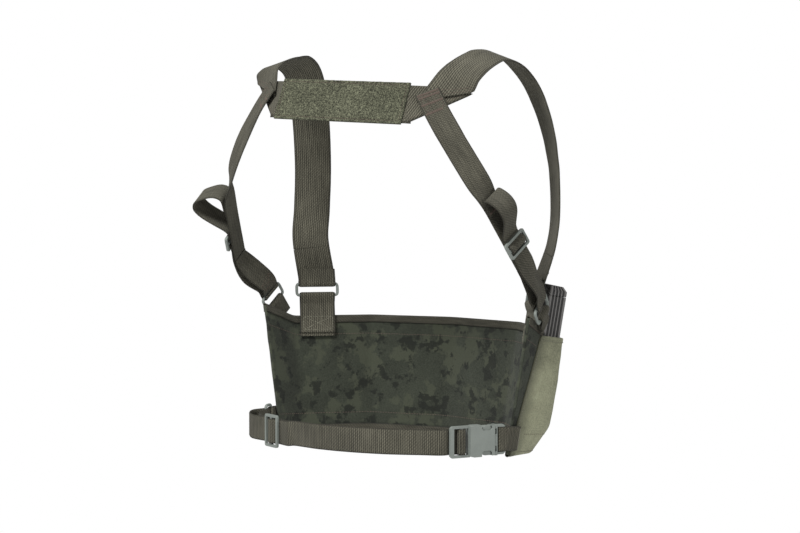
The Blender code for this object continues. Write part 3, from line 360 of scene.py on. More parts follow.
def plain_weave_look(name, colour, pitch, contrast, mottle=(), seam_shade=0.0):
    """Woven pack cloth, one thread over and one under, printed with blotches, with painted shade near a
    seam.
    """
    look = Shader(name, 0.88, sheen=0.06, specular=0.15)
    across, along, _ = look.cloth()
    first = look.math("SINE", look.math("MULTIPLY", across, math.pi / pitch))
    second = look.math("SINE", look.math("MULTIPLY", along, math.pi / pitch))
    height = look.math("MULTIPLY_ADD", look.math("MULTIPLY", first, second), 0.5, 0.5)
    grain = look.noise(700.0, 3.0)
    cloud = look.noise(22.0, 4.0, 0.6)
    tone = look.math("MULTIPLY_ADD", height, 0.25, look.math("MULTIPLY", grain, 0.55))
    tone = look.vary(tone, cloud, contrast)
    base = look.ramp(tone, ((0.1, shade(colour, 0.35)), (0.42, colour), (0.85, shade(colour, 1.7))))
    for scale, low, high, tint in mottle:
        patch = look.stretch(look.noise(scale, 4.0, 0.62), low, high)
        base = look.mix(look.math("MULTIPLY", patch, 0.85), base, look.mix(height, shade(tint, 0.7), tint))
    # Painted shade: the cloth darkens towards its seam side, where the pouch curves away into shade.
    near_seam = look.math("ADD", along, look.math("MULTIPLY", cloud, 14.0))
    look.colour(look.mix(look.stretch(near_seam, 9.0, 26.0, seam_shade, 0.0), base, shade(colour, 0.3)))
    look.rough(look.stretch(grain, 0.3, 0.7, 0.92, 0.74))
    look.bump(look.math("MULTIPLY_ADD", grain, 0.4, height), 0.0004, 0.8)
    return look.made


def pile_look(name, colour):
    """Loop pile: a felted surface of small curls with darker hollows."""
    look = Shader(name, 0.95, sheen=0.05, specular=0.08)
    curls = look.noise(860.0, 2.0, 0.8)
    clumps = look.noise(420.0, 2.0, 0.6)
    tone = look.math("MULTIPLY_ADD", curls, 0.95, look.math("MULTIPLY", clumps, 0.35))
    tone = look.vary(tone, look.noise(30.0, 2.0), 0.12)
    look.colour(look.ramp(tone, ((0.50, shade(colour, 0.22)), (0.66, colour), (0.84, shade(colour, 2.7)))))
    look.bump(tone, 0.0009, 1.0)
    return look.made


def thread_look(name, colour):
    look = Shader(name, 0.7, sheen=0.1, specular=0.3)
    twist = look.noise(1400.0, 1.0)
    look.colour(look.ramp(twist, ((0.2, shade(colour, 0.6)), (0.8, shade(colour, 1.35)))))
    look.bump(twist, 0.0002, 0.6)
    return look.made


def moulded_look(name, colour, roughness, speckle, painted_rib_light_and_shade=0.0):
    """Moulded plastic: fine grain, pale scuffing, and painted highlights on rib crests with painted shade
    between them.
    """
    look = Shader(name, roughness, specular=0.45)
    grain = look.noise(1300.0, 2.0)
    cloud = look.noise(60.0, 3.0)
    scuff = look.stretch(look.noise(210.0, 5.0, 0.75), 0.60, 0.78)
    tone = look.math("MULTIPLY_ADD", grain, 0.5, look.math("MULTIPLY", cloud, 0.5))
    base = look.ramp(tone, ((0.2, shade(colour, 0.80)), (0.8, shade(colour, 1.2))))
    base = look.mix(look.math("MULTIPLY", scuff, speckle), base, shade(colour, 1.7))
    ridge = look.cloth()[0]
    # Painted shade in the valleys between ribs, then painted highlights on the rib crests.
    base = look.mix(look.stretch(ridge, 0.55, 0.05, 0.0, painted_rib_light_and_shade), base, shade(colour, 0.2))
    look.colour(look.mix(look.stretch(ridge, 0.85, 1.0, 0.0, painted_rib_light_and_shade), base, shade(colour, 3.0)))
    look.rough(look.stretch(tone, 0.2, 0.8, roughness - 0.10, roughness + 0.12))
    look.bump(grain, 0.00012, 0.6)
    return look.made


def make_looks():
    webbing = (0.074, 0.070, 0.052)
    LOOKS.update({
        "webbing": webbing_look("webbing_narrow", webbing, 1.25, 1.9),
        "wide": webbing_look("webbing_wide", shade(webbing, 1.08), 2.1, 1.5),
        "belt": webbing_look("webbing_belt", shade(webbing, 0.98), 2.1, 1.4, crosswise=True),
        "tape": webbing_look("binding_tape", shade(webbing, 0.92), 0.9, 1.2),
        "loop": pile_look("loop_pile", (0.066, 0.068, 0.045)),
        "panel": plain_weave_look("panel_fabric", (0.036, 0.041, 0.029), 0.55, 0.7,
                                  ((38.0, 0.52, 0.57, (0.064, 0.071, 0.047)),
                                   (60.0, 0.55, 0.59, (0.014, 0.016, 0.012)))),
        "pouch": plain_weave_look("pouch_fabric", (0.275, 0.280, 0.188), 0.6, 0.9, seam_shade=0.85),
        "thread": thread_look("thread", (0.098, 0.068, 0.052)),
        "pale_thread": thread_look("pale_thread", (0.205, 0.200, 0.150)),
        "plastic": moulded_look("foliage_plastic", (0.185, 0.205, 0.186), 0.50, 0.20),
        # The last number sets the painted highlights and shade on the magazine's ribs.
        "polymer": moulded_look("magazine_polymer", (0.050, 0.048, 0.046), 0.48, 0.22, 0.85),
    })


# ---- mesh helpers

class Cloth:
    """A mesh under construction, in millimetres, with along-cloth coordinates at every point."""

    def __init__(self):
        self.points = []
        self.marks = []
        self.faces = []
        self.kinds = []

    def add(self, points, marks, faces, kind=0):
        start = sum(len(block) for block in self.points)
        self.points.append(np.asarray(points, float).reshape(-1, 3))
        self.marks.append(np.asarray(marks, float).reshape(-1, 3))
        self.faces += [tuple(start + i for i in face) for face in faces]
        self.kinds += [kind] * len(faces)

    def make(self, name, surfaces):
        points = np.concatenate(self.points) * MM
        mesh = bpy.data.meshes.new(name)
        mesh.from_pydata(points.tolist(), [], self.faces)
        mesh.attributes.new("cloth", "FLOAT_VECTOR", "POINT")
        mesh.attributes["cloth"].data.foreach_set("vector", np.concatenate(self.marks).ravel())
        for surface in surfaces.split():
            mesh.materials.append(LOOKS[surface])
        mesh.polygons.foreach_set("material_index", self.kinds)
        mesh.polygons.foreach_set("use_smooth", [True] * len(self.faces))
        mesh.update()
        return link_object(name, mesh)

    def piece(self, name, surfaces, node, body="rig", between=None, slot="webbing"):
        """Make the mesh, hide the CAD node it stands for, and attach it to its body, or bake its transform
        in when it lies between parts; the slot is not used.
        """
        made = self.make(name, surfaces)
        if between:
            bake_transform(made)
        else:
            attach(made, body)
        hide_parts(node)
        return made


def link_object(name, data):
    made = bpy.data.objects.new(name, data)
    bpy.context.scene.collection.objects.link(made)
    return made


def unit(rows):
    rows = np.asarray(rows, float)
    return rows / np.maximum(np.linalg.norm(rows, axis=-1, keepdims=True), 1e-9)


def reach_of(points):
    """How far along a line each of its points lies."""
    return np.concatenate([[0.0], np.cumsum(np.linalg.norm(np.diff(points, axis=0), axis=1))])


def resample(spots, reach, rows):
    """Rows of three numbers read at spots along a line."""
    return np.stack([np.interp(spots, reach, rows[:, k]) for k in range(3)], -1)


def tube_faces(rows, sides, flip=False):
    """Faces of a closed tube of point rings, its two ends capped."""
    faces = []
    for r in range(rows - 1):
        for k in range(sides):
            nxt = (k + 1) % sides
            faces.append((r * sides + k, r * sides + nxt, (r + 1) * sides + nxt, (r + 1) * sides + k))
    faces.append(tuple(reversed(range(sides))))
    faces.append(tuple((rows - 1) * sides + k for k in range(sides)))
    return [face[:1] + face[:0:-1] for face in faces] if flip else faces


def thread_run(cloth, points, normals, kind=1, pitch=STITCH_PITCH, length=STITCH_LENGTH,
               radius=THREAD_RADIUS):
    """Lay separate stitches along a line of points that lie on a surface."""
    points, normals = np.asarray(points, float), np.asarray(normals)
    reach = reach_of(points)
    count = int(reach[-1] // pitch)
    for index in range(count):
        start = (reach[-1] - count * pitch) / 2 + index * pitch + (pitch - length) / 2
        spots = resample(start + length * np.array((0.0, 0.2, 0.5, 0.8, 1.0)), reach, points)
        stitch(cloth, spots, unit(resample(start + length / 2, reach, normals)), radius, kind)


def stitch(cloth, spots, normal, radius, kind):
    """One stitch: a short round thread whose ends dip into the cloth."""
    sides = 6
    across = np.cross(unit(spots[-1] - spots[0]), normal)
    rings = []
    for spot, swell, lift in zip(spots, (0.5, 0.95, 1.0, 0.95, 0.5), (-0.5, 0.25, 0.45, 0.25, -0.5)):
        for k in range(sides):
            angle = 2 * math.pi * k / sides
            turn = across * math.cos(angle) + normal * math.sin(angle)
            rings.append(spot + normal * (lift * radius) + turn * (radius * swell))
    cloth.add(rings, np.zeros((len(rings), 3)), tube_faces(len(spots), sides), kind)


def slab(cloth, top, bottom, marks):
    """A closed solid between two matching grids of points."""
    rows, columns = top.shape[:2]
    layer = rows * columns
    faces = []
    for r in range(rows - 1):
        for a in range(r * columns, (r + 1) * columns - 1):
            quad = (a, a + 1, a + 1 + columns, a + columns)
            faces += [quad, tuple(i + layer for i in (quad[0], quad[3], quad[2], quad[1]))]
    rim = list(range(columns))
    rim += [r * columns + columns - 1 for r in range(1, rows)]
    rim += [(rows - 1) * columns + c for c in range(columns - 2, -1, -1)]
    rim += [r * columns for r in range(rows - 2, 0, -1)]
    faces += [(a, a + layer, b + layer, b) for a, b in zip(rim, rim[1:] + rim[:1])]
    cloth.add(np.stack([top, bottom]), np.stack([marks, marks]), faces)


def thick_grid(cloth, grid, marks, thick):
    """Turn a grid of surface points into a closed sheet that is thick towards its inner side."""
    normals = grid_normals(grid)
    slab(cloth, grid, grid - normals * thick, marks)
    return normals


def grid_normals(grid):
    """Unit normals of a grid whose columns run along and rows run up, pointing to columns x rows."""
    return unit(np.cross(np.gradient(grid, axis=1), np.gradient(grid, axis=0)))


def ripple(points, size, amount, seed):
    """A smooth random number for each point, the same on every run."""
    offset = Vector((seed * 7.31, seed * 3.17, seed * 5.73))
    flat = np.asarray(points, float).reshape(-1, 3)
    values = [noise.noise(Vector(p) / size + offset) for p in flat]
    return amount * np.array(values).reshape(np.asarray(points).shape[:-1])


# ---- straps

def mirrored(point, side):
    return Vector((side * point[0], point[1], point[2]))


def to_side(keys, side):
    return [(mirrored(p, side), mirrored(n, side)) for p, n in keys]


def askew(points):
    """Lower the right-hand side of the upper harness and raise its left, as it hangs when worn."""
    height = np.clip((points[:, 2] - 235.0) / 65.0, 0.0, 1.0)
    back = np.clip((-points[:, 1] - 10.0) / 40.0, 0.0, 1.0)
    moved = points.copy()
    moved[:, 2] -= ASKEW * points[:, 0] * height * back
    return moved


def askew_grid(grid):
    return askew(grid.reshape(-1, 3)).reshape(grid.shape)


def catmull(p, t):
    a = 2 * p[1]
    b = p[2] - p[0]
    c = 2 * p[0] - 5 * p[1] + 4 * p[2] - p[3]
    d = -p[0] + 3 * p[1] - 3 * p[2] + p[3]
    return 0.5 * (a + b * t + c * t * t + d * t ** 3)


def smooth(keys, steps=8):
    """Catmull-Rom points through (centre, out) keys, with steps between each pair."""
    points = [[Vector(p), Vector(n)] for p, n in keys]
    first = [points[0][k] * 2 - points[1][k] for k in range(2)]
    last = [points[-1][k] * 2 - points[-2][k] for k in range(2)]
    padded = [first] + points + [last]
    stations = []
    for index in range(1, len(padded) - 2):
        for step in range(steps):
            t = step / steps
            stations.append([catmull([padded[index + j][k] for j in (-1, 0, 1, 2)], t) for k in range(2)])
    stations.append(points[-1])
    return [(centre, out.normalized()) for centre, out in stations]


def bend(profile, place, forward, out):
    """Stations of webbing bent to a (forward, out) profile, which place() turns into points."""
    stations = []
    for index, (run, rise) in enumerate(profile):
        ahead = profile[min(index + 1, len(profile) - 1)]
        behind = profile[max(index - 1, 0)]
        normal = out * (ahead[0] - behind[0]) - forward * (ahead[1] - behind[1])
        stations.append((place(run, rise), normal.normalized()))
    return stations


class Strap:
    """Flat webbing that follows stations, with a rounded selvedge, and the sewing on it."""

    def __init__(self, stations, width, thick, slant=0.0, warp=None, wave=0.12, seed=1, step=STEP):
        self.width, self.thick, self.slant, self.warp = width, thick, slant, warp
        centres = np.array([tuple(c) for c, _ in stations])
        outs = np.array([tuple(n) for _, n in stations])
        keep = np.concatenate([[True], np.linalg.norm(np.diff(centres, axis=0), axis=1) > 1e-6])
        centres, outs = centres[keep], outs[keep]
        reach = reach_of(centres)
        self.length = reach[-1]
        self.spots = np.linspace(0.0, self.length, max(int(round(self.length / step)), 4) + 1)
        centres, outs = [self.soften(resample(self.spots, reach, rows)) for rows in (centres, outs)]
        self.along = unit(np.gradient(centres, axis=0))
        self.across = unit(np.cross(self.along, outs))
        self.outs = unit(np.cross(self.across, self.along))
        lift = np.array([noise.noise(Vector((s / 17.0, seed * 3.3, 0.0))) for s in self.spots])
        ends = np.clip(np.minimum(self.spots, self.length - self.spots) / 8.0, 0.0, 1.0)
        self.centres = centres + self.outs * (lift * wave * ends)[:, None]
        self.weave_body()

    @staticmethod
    def soften(rows):
        padded = np.concatenate([rows[:1], rows, rows[-1:]])
        smoothed = (padded[:-2] + 2 * rows + padded[2:]) / 4
        smoothed[0], smoothed[-1] = rows[0], rows[-1]
        return smoothed

    def slid(self, u, distances):
        """Distances along the strap after the angled start has shifted them at a place across it."""
        return distances + u / self.width * self.slant * np.clip(1 - distances / SLANT_REACH, 0.0, 1.0)

    def track(self, distances):
        """Centre, across and out at distances along the strap, carried on straight past its ends."""
        centre, across, out = [resample(distances, self.spots, rows)
                               for rows in (self.centres, self.across, self.outs)]
        before = np.minimum(distances - self.spots[0], 0.0)[..., None] * self.along[0]
        after = np.maximum(distances - self.spots[-1], 0.0)[..., None] * self.along[-1]
        return centre + before + after, across, out

    def weave_body(self):
        """Start the strap's own mesh with the webbing itself."""
        half, thick = self.width / 2, self.thick / 2
        top = []
        for index in range(15):
            share = index / 14 * 2 - 1
            x = half * math.copysign(abs(share) ** 0.85, share)
            inset = max(abs(x) - (half - 0.7), 0.0) / 0.7
            swell = 0.10 * math.exp(-((half - 1.6 - abs(x)) / 0.9) ** 2)
            top.append((x, thick * (math.sqrt(max(1 - inset ** 2, 0.0)) * 0.75 + 0.25) + swell))
        section = top + [(x, -y) for x, y in reversed(top)]
        rows = []
        marks = []
        for x, y in section:
            centre, across, out = self.track(self.slid(x, self.spots))
            rows.append(centre + across * x + out * y)
            marks.append(np.stack(np.broadcast_arrays(x + half, self.spots, abs(x) / half), 1))
        points = np.stack(rows, 1).reshape(-1, 3)
        self.cloth = Cloth()
        self.cloth.add(self.warp(points) if self.warp else points, np.stack(marks, 1),
                       tube_faces(len(self.spots), len(section), flip=True))

    def at(self, u, v, face):
        """Point and normal on the strap's face, u from its middle and v from its start."""
        centre, across, out = self.track(self.slid(u, np.clip(v, 0.0, self.length)))
        point = centre + across * u + out * (face * self.thick / 2)
        return self.warp(point[None])[0] if self.warp else point, out * face

    def sew(self, start, end, face=1, **options):
        """A run of stitches between two places, each given across and along the strap."""
        spots = zip(np.linspace(start[0], end[0], SEW_POINTS), np.linspace(start[1], end[1], SEW_POINTS))
        pairs = [self.at(u, v, face) for u, v in spots]
        thread_run(self.cloth, [p for p, _ in pairs], [n for _, n in pairs], **options)

    def box_stitch(self, low, high, inset=3.0, **options):
        """A sewn rectangle with a cross in it, between two places along the strap."""
        half = self.width / 2 - inset
        corners = ((-half, low), (half, low), (half, high), (-half, high))
        for first, second in ((0, 1), (1, 2), (2, 3), (3, 0), (0, 2), (1, 3)):
            self.sew(corners[first], corners[second], **options)

    def bar_tack(self, v, inset=2.0, rows=1, **options):
        """Dense short stitches side by side across the strap."""
        half = self.width / 2 - inset
        u = -half
        while u <= half:
            for start in np.arange(rows) * 3.0 + v:
                self.sew((u, start - 1.3), (u + 0.25, start + 1.3), pitch=2.59, length=2.5, **options)
            u += BAR_TACK_PITCH

    def piece(self, *names, **options):
        return self.cloth.piece(*names, **options)

    def split(self, share):
        """Two straps that meet butt to butt at a share of the length."""
        middle = self.length * share
        first = self.part(self.spots <= middle)
        second = self.part(self.spots >= middle, first)
        return first, second

    def part(self, keep, before=None):
        """The strap's kept stretch, begun where the part before it ends."""
        part = object.__new__(Strap)
        part.__dict__.update(self.__dict__)
        for key in ("spots", "centres", "across", "outs", "along"):
            rows = getattr(self, key)[keep]
            if before:
                rows = np.concatenate([getattr(before, key)[-1:], rows])
            setattr(part, key, rows)
        part.weave_body()
        return part


# ---- routes of the webbing

def yoke_out(turn=0.0):
    flat = Vector((0.0, -math.cos(YOKE_TILT), math.sin(YOKE_TILT)))
    return Matrix.Rotation(turn, 3, "Z") @ flat


def yoke_up(turn=0.0):
    flat = Vector((0.0, math.sin(YOKE_TILT), math.cos(YOKE_TILT)))
    return Matrix.Rotation(turn, 3, "Z") @ flat


def yoke_corner(side, out_along, up, layer):
    """A point on the yoke's turned corner: along the webbing, up its width, and out by layer."""
    turn = side * YOKE_TURN
    start = Vector((side * YOKE_HALF, YOKE_Y, YOKE_Z))
    along = Matrix.Rotation(turn, 3, "Z") @ Vector((side, 0.0, 0.0))
    return start + along * out_along + yoke_up(turn) * up + yoke_out(turn) * layer


def shoulder_keys():
    """Route of a shoulder strap from its yoke corner, over the shoulder, to its front ring."""
    corner = yoke_out(YOKE_TURN)
    return [
        (yoke_corner(1, 34.7, 8.5, SHOULDER_LAYER), corner),
        (yoke_corner(1, 44.8, 23.7, SHOULDER_LAYER), corner),
        (yoke_corner(1, 52.0, 35.5, 0.9), (0.24, -0.78, 0.58)),
        ((119, -22, 371), (0.24, -0.36, 0.90)),
        ((124, 4, 375), (0.33, 0.10, 0.94)),
        ((130, 30, 366), (0.42, 0.52, 0.74)),
        ((138, 52, 343), (0.55, 0.72, 0.42)),
        ((145, 68, 305), (0.65, 0.74, 0.18)),
        ((149, 76, 262), (0.72, 0.69, 0.02)),
        ((150.5, 76, 220), (0.74, 0.66, -0.10)),
        ((149, 71, 187), (0.73, 0.66, -0.16)),
    ]


def glide_point(down, out):
    return GLIDE_CENTRE + GLIDE_DOWN * down + GLIDE_OUT * out


def diagonal_keys():
    """Route of a diagonal strap from the yoke corner to below the side tri-glide."""
    corner = yoke_out(YOKE_TURN)
    return [
        (yoke_corner(1, 17.6, 12.1, DIAGONAL_LAYER), corner),
        (yoke_corner(1, 27.7, -9.5, DIAGONAL_LAYER), corner),
        ((120.6, -76.7, 300), (0.42, -0.84, 0.34)),
        ((134.7, -75.8, 277.6), (0.44, -0.86, 0.26)),
        ((147.0, -72.0, 255), (0.59, -0.78, 0.20)),
        (glide_point(-50.0, -UNDER_LAYER - LOOP_CLEARANCE), GLIDE_OUT),
        (glide_point(-24.0, -UNDER_LAYER), GLIDE_OUT),
        (glide_point(22.0, -UNDER_LAYER), GLIDE_OUT),
    ]


def weave(place, along, out, length):
    """Stations of webbing that passes under a three-bar frame, over its centre bar and under again."""
    end = length / 2 + WEAVE_LEAD
    bar, edge = GLIDE_CENTRE_BAR / 2, length / 2 - GLIDE_BAR
    profile = [(-end, -WEAVE_RISE), (-edge + WEAVE_TURN, -WEAVE_RISE), (-bar - WEAVE_TURN, WEAVE_RISE)]
    profile += [(bar + WEAVE_TURN, WEAVE_RISE), (edge - WEAVE_TURN, -WEAVE_RISE), (end, -WEAVE_RISE)]
    return bend(profile, place, along, out)


def slack_keys(reach, bulge):
    first = GLIDE_LENGTH / 2 + WEAVE_LEAD + 2 * GAP
    seat = -UNDER_LAYER + WEB + 2 * GAP
    profile = [(-first - reach * s, bulge * n - WEAVE_RISE) for s, n in SLACK_SHAPE]
    profile += [(-first - reach * s, seat + lift) for s, lift in SLACK_RETURN]
    return [(p, -n) for p, n in bend(profile, glide_point, GLIDE_DOWN, GLIDE_OUT)]


def edge_normals():
    """Outward plan normals of the right-hand half of the panel, back to middle."""
    result = []
    for first, second in zip(PLAN[:-1], PLAN[1:]):
        along = (second - first).normalized()
        result.append(Vector((along.y, -along.x)))
    return result


def meet(corner, first, second, offset):
    total = first + second
    return corner + total * (offset / total.dot(first))


def plan_vertices(offset):
    """Right-hand plan vertices with every edge moved out by an offset."""
    normals = edge_normals()
    moved = [PLAN[0] + normals[0] * offset]
    for index in (1, 2):
        moved.append(meet(PLAN[index], normals[index - 1], normals[index], offset))
    moved.append(meet(PLAN[3], normals[2], Vector((0.0, 1.0)), offset))
    return moved


def flare_at(height):
    return (height - PLAN_HEIGHT) * math.tan(FLARE)


def panel_ring(height, layer, level=None):
    """All plan points at one height, right back edge round to left back edge."""
    level = height if level is None else level
    edge = plan_vertices(flare_at(level) + layer / math.cos(FLARE))[0]
    inner = plan_vertices(flare_at(height) + layer / math.cos(FLARE))[1:]
    right = [Vector((edge.x, edge.y, level))] + [Vector((p.x, p.y, height)) for p in inner]
    return right + [mirrored(p, -1) for p in reversed(right)]


def segment_frame(index):
    """Middle, along, up and out of one flat stretch of the panel's outer face, at mid height."""
    normal = edge_normals()[index]
    middle = (PLAN[index] + PLAN[index + 1]) / 2
    along = (PLAN[index + 1] - PLAN[index]).normalized()
    up = (normal.to_3d() * math.sin(FLARE) + UPRIGHT * math.cos(FLARE)).normalized()
    out = (normal.to_3d() * math.cos(FLARE) - UPRIGHT * math.sin(FLARE)).normalized()
    return [Vector((middle.x, middle.y, PLAN_HEIGHT)) + out * PANEL_THICK, along.to_3d(), up, out]


def on_segment(frame, along, height, out):
    """A point on a panel stretch: along it, at a height above the pouch bottom, out from its face."""
    centre, sideways, up, outward = frame
    rise = height + POUCH_BOTTOM - PLAN_HEIGHT
    return centre + sideways * along + up * (rise / math.cos(FLARE)) + outward * out


def on_wing(level, back, layer):
    """A point on the wing's outer face: how far back from its front corner, its height and layer."""
    corner = plan_vertices(flare_at(level) + (PANEL_THICK + layer) / math.cos(FLARE))[1]
    spot = corner + (PLAN[0] - PLAN[1]).normalized() * back
    return Vector((spot.x, spot.y, level))


def local(frame, along, up, out):
    centre, sideways, rise, outward = frame
    return centre + sideways * along + rise * up + outward * out


def wing_frame():
    """Frame of the side tab: its origin on the wing's top edge, its up tilted towards the pull."""
    back = (PLAN[0] - PLAN[1]).normalized().to_3d()
    up = UPRIGHT * math.cos(SIDE_TAB_TILT) + back * math.sin(SIDE_TAB_TILT)
    along = UPRIGHT * math.sin(SIDE_TAB_TILT) - back * math.cos(SIDE_TAB_TILT)
    return [on_wing(SIDE_TAB_LEVEL, SIDE_TAB_BACK, 0.0), along, up, edge_normals()[0].to_3d()]


def front_frame():
    """Frame of the front tab on the panel's inner face, at the panel's top edge."""
    centre, along, up, out = segment_frame(1)
    rise = (PANEL_TOP - PLAN_HEIGHT) / math.cos(FLARE)
    return [centre + along * FRONT_RING_ALONG + up * rise, along, up, out]


def tab_stations(frame, start, bar_up, bar_out, face_out):
    """Webbing sewn on a panel face that rises past the top edge and turns round a ring's bar."""
    near = -TURN * face_out
    stack = near + (WEB + GAP) * face_out
    profile = [(start, near), (-2.0, near), (bar_up, near)]
    for step in range(1, 12):
        angle = math.pi * step / 12
        profile.append((bar_up + TURN * math.sin(angle), -face_out * TURN * math.cos(angle)))
    profile += [(bar_up - 0.5, -near), (bar_up - 5.0, (stack - near) / 2), (bar_up - 8.0, stack)]
    profile += [(start + 4.0, stack)]
    return bend(profile, lambda run, rise: local(frame, 0.0, run, bar_out + rise), frame[2], frame[3])


def side_top_bar():
    """The side ring's upper bar, the direction up from it and the outward direction."""
    frame = wing_frame()
    return local(frame, 0.0, SIDE_BAR_UP + SIDE_RING_LENGTH - RING_BAR, SIDE_BAR_OUT), frame[2], frame[3]


def turn_round(bar, up, out, steps=12):
    """Stations of webbing half way round a bar, from its outer side under to its inner side."""
    stations = []
    for step in range(1, steps + 1):
        angle = math.pi * step / steps
        spot = bar + out * (TURN * math.cos(angle)) - up * (TURN * math.sin(angle))
        stations.append((spot, (spot - bar).normalized()))
    return stations


def belt_point(angle):
    return Vector((BELT_A * math.cos(angle), -BELT_B * math.sin(angle), 0.0))


def belt_station(degrees):
    """Centre and outward direction of the belt's oval at an angle behind the wearer."""
    turn = math.radians(degrees)
    return belt_point(turn), Vector((math.cos(turn) / BELT_A, -math.sin(turn) / BELT_B, 0.0)).normalized()


def belt_glide_point(run, rise):
    return BELT_GLIDE_CENTRE + BELT_GLIDE_AWAY * run + BELT_GLIDE_OUT * rise


def belt_wing_frame():
    centre, along, up, out = segment_frame(0)
    return [centre - up * (PLAN_HEIGHT / math.cos(FLARE)), along, up, out]


def buckle_axes():
    along = (BUCKLE_END - BUCKLE_START).normalized()
    up = Vector((0.0, 0.0, 1.0))
    return along, up, along.cross(up).normalized()


def buckle_point(p, q, n):
    along, up, out = buckle_axes()
    return BUCKLE_START + along * p + up * q + out * (n + BUCKLE_RISE)


# ---- pieces of webbing

def build_yoke():
    """Webbing across the back, with its turned ends folded up to points along a slant edge."""
    stations = [(yoke_corner(-1, run, 0.0, 0.0), yoke_out(-YOKE_TURN)) for run in (3.0, 1.0)]
    for share in (-1.0, -0.5, 0.0, 0.5, 1.0):
        stations.append((Vector((share * (YOKE_HALF - 3.0), YOKE_Y, YOKE_Z)), yoke_out()))
    stations += [(yoke_corner(1, run, 0.0, 0.0), yoke_out(YOKE_TURN)) for run in (1.0, 3.0)]
    strap = Strap(stations, WIDE, WIDE_WEB, warp=askew, seed=2)
    for side in (-1, 1):
        fold_corner(strap.cloth, side)
    strap.piece("yoke_strap", "wide thread", "yoke_webbing")


def fold_corner(cloth, side):
    """The four-sided folded end of the yoke, its ribs running with the shoulder strap."""
    low, tip = np.array((-1.5, -WIDE / 2)), np.array((FOLD_ALONG, FOLD_UP))
    top, end = np.array((-1.5, WIDE / 2)), np.array((YOKE_TOP_REACH, WIDE / 2))
    share, lift = np.meshgrid(np.linspace(0.0, 1.0, 50), np.linspace(0.0, 1.0, 34) ** 1.4)
    share, lift = share[..., None], lift[..., None]
    flat = (low + (tip - low) * share) * (1 - lift) + (top + (end - top) * share) * lift
    fold = unit(tip - low)
    depth = (flat - low) @ np.array((-fold[1], fold[0]))
    roll = np.sqrt(1 - np.clip(1 - np.maximum(depth, 0.0) / 1.3, 0.0, 1.0) ** 2)
    half = (WIDE_WEB / 2 + 0.35 * np.exp(-(depth - 2.0) ** 2 / 4.0)) * (0.1 + 0.9 * roll)
    lean = unit((0.55, 0.83))
    marks = np.stack([flat @ np.array((lean[1], -lean[0])) + WIDE, flat @ lean + WIDE,
                      np.clip(1.0 - depth / 20.0, 0.0, 1.0)], -1)
    layers = []
    for face in (1, -1):
        rows = [[tuple(yoke_corner(side, a, u, face * h)) for (a, u), h in zip(line, thick)]
                for line, thick in zip(flat, half)]
        layers.append(askew_grid(np.array(rows)))
    if side > 0:
        layers.reverse()
    slab(cloth, layers[1], layers[0], marks)
    line = low + (tip - low) * np.linspace(0.04, 0.97, 40)[:, None] + np.array((-fold[1], fold[0])) * 3.2
    points = np.array([tuple(yoke_corner(side, a, u, WIDE_WEB / 2 + 0.1)) for a, u in line])
    thread_run(cloth, askew(points), np.tile(tuple(yoke_out(side * YOKE_TURN)), (40, 1)))


def build_shoulder(side, label):
    """Wide strap over the shoulder, and its lower end turned round the front ring."""
    frame = front_frame()
    up, out = frame[2], frame[3]
    bar = local(frame, 0.0, FRONT_BAR_UP + FRONT_RING_LENGTH - RING_BAR, FRONT_BAR_OUT)
    keys = shoulder_keys() + [(bar + up * 9.0 + out * TURN, out), (bar + up * 0.5 + out * TURN, out)]
    stations = smooth(keys)
    cut = len(stations) - 14
    lower = stations[cut - 1:] + turn_round(bar, up, out)
    lower.append((bar + up * 6.0 - out * (TURN - 1.0), -out))
    lower.append((bar + up * 16.0 - out * (WEB + 2 * GAP - TURN), -out))
    upper = to_side(stations[:cut], side)
    strap = Strap(upper, WIDE, WIDE_WEB, side * SHOULDER_SLANT, askew, wave=0.35, seed=5 + side)
    for v, kind in ((4.0, 1), (9.0, 1), (strap.length - 5.0, 2)):
        strap.sew((-17.0, v), (17.0, v), kind=kind)
    strap.piece("shoulder_strap_web_" + label, "wide thread pale_thread", "shoulder_strap_" + label)
    end = Strap(to_side(lower, side), WIDE, WIDE_WEB, wave=0.0, step=TIGHT_STEP)
    end.box_stitch(3.0, 13.0, inset=3.5, kind=2)
    end.bar_tack(16.0, kind=2)
    ring = ("front_ring_" + label, "rig", mirrored(bar, side), mirrored(bar + up * 18.0, side))
    end.piece("front_strap_end_web_" + label, "wide thread pale_thread", "front_strap_end_" + label,
              between=ring)


def build_diagonal(side, label):
    """Narrow strap sewn on the yoke's corner, down to below the side tri-glide."""
    strap = Strap(to_side(smooth(diagonal_keys()), side), NARROW, WEB, warp=askew, wave=0.08, seed=11 + side)
    strap.box_stitch(5.5, 21.0, inset=3.2)
    for v, rows in ((2.2, 2), (13.0, 1), (22.5, 1)):
        strap.bar_tack(v, inset=1.6, rows=rows, radius=0.32)
    strap.piece("diagonal_web_" + label, "webbing thread", "diagonal_strap_" + label)


def build_glide_web(side, label):
    stations = to_side(weave(glide_point, GLIDE_DOWN, GLIDE_OUT, GLIDE_LENGTH), side)
    strap = Strap(stations, NARROW, WEB, wave=0.0, step=FINE_STEP)
    strap.piece("glide_web_" + label, "webbing", "glide_webbing_" + label, "side_glide_" + label)


def build_slack(side, label, reach, bulge):
    """The loop of spare webbing above a side tri-glide."""
    strap = Strap(to_side(smooth(slack_keys(reach, bulge)), side), NARROW, WEB, wave=0.3, seed=17 + side)
    strap.bar_tack(strap.length - 3.0, face=-1)
    ends = [mirrored(glide_point(-GLIDE_LENGTH / 2 - run, 0.0), side) for run in (0.0, reach)]
    strap.piece("slack_loop_web_" + label, "webbing thread", "slack_loop_" + label,
                between=("side_glide_" + label, "rig", *ends))


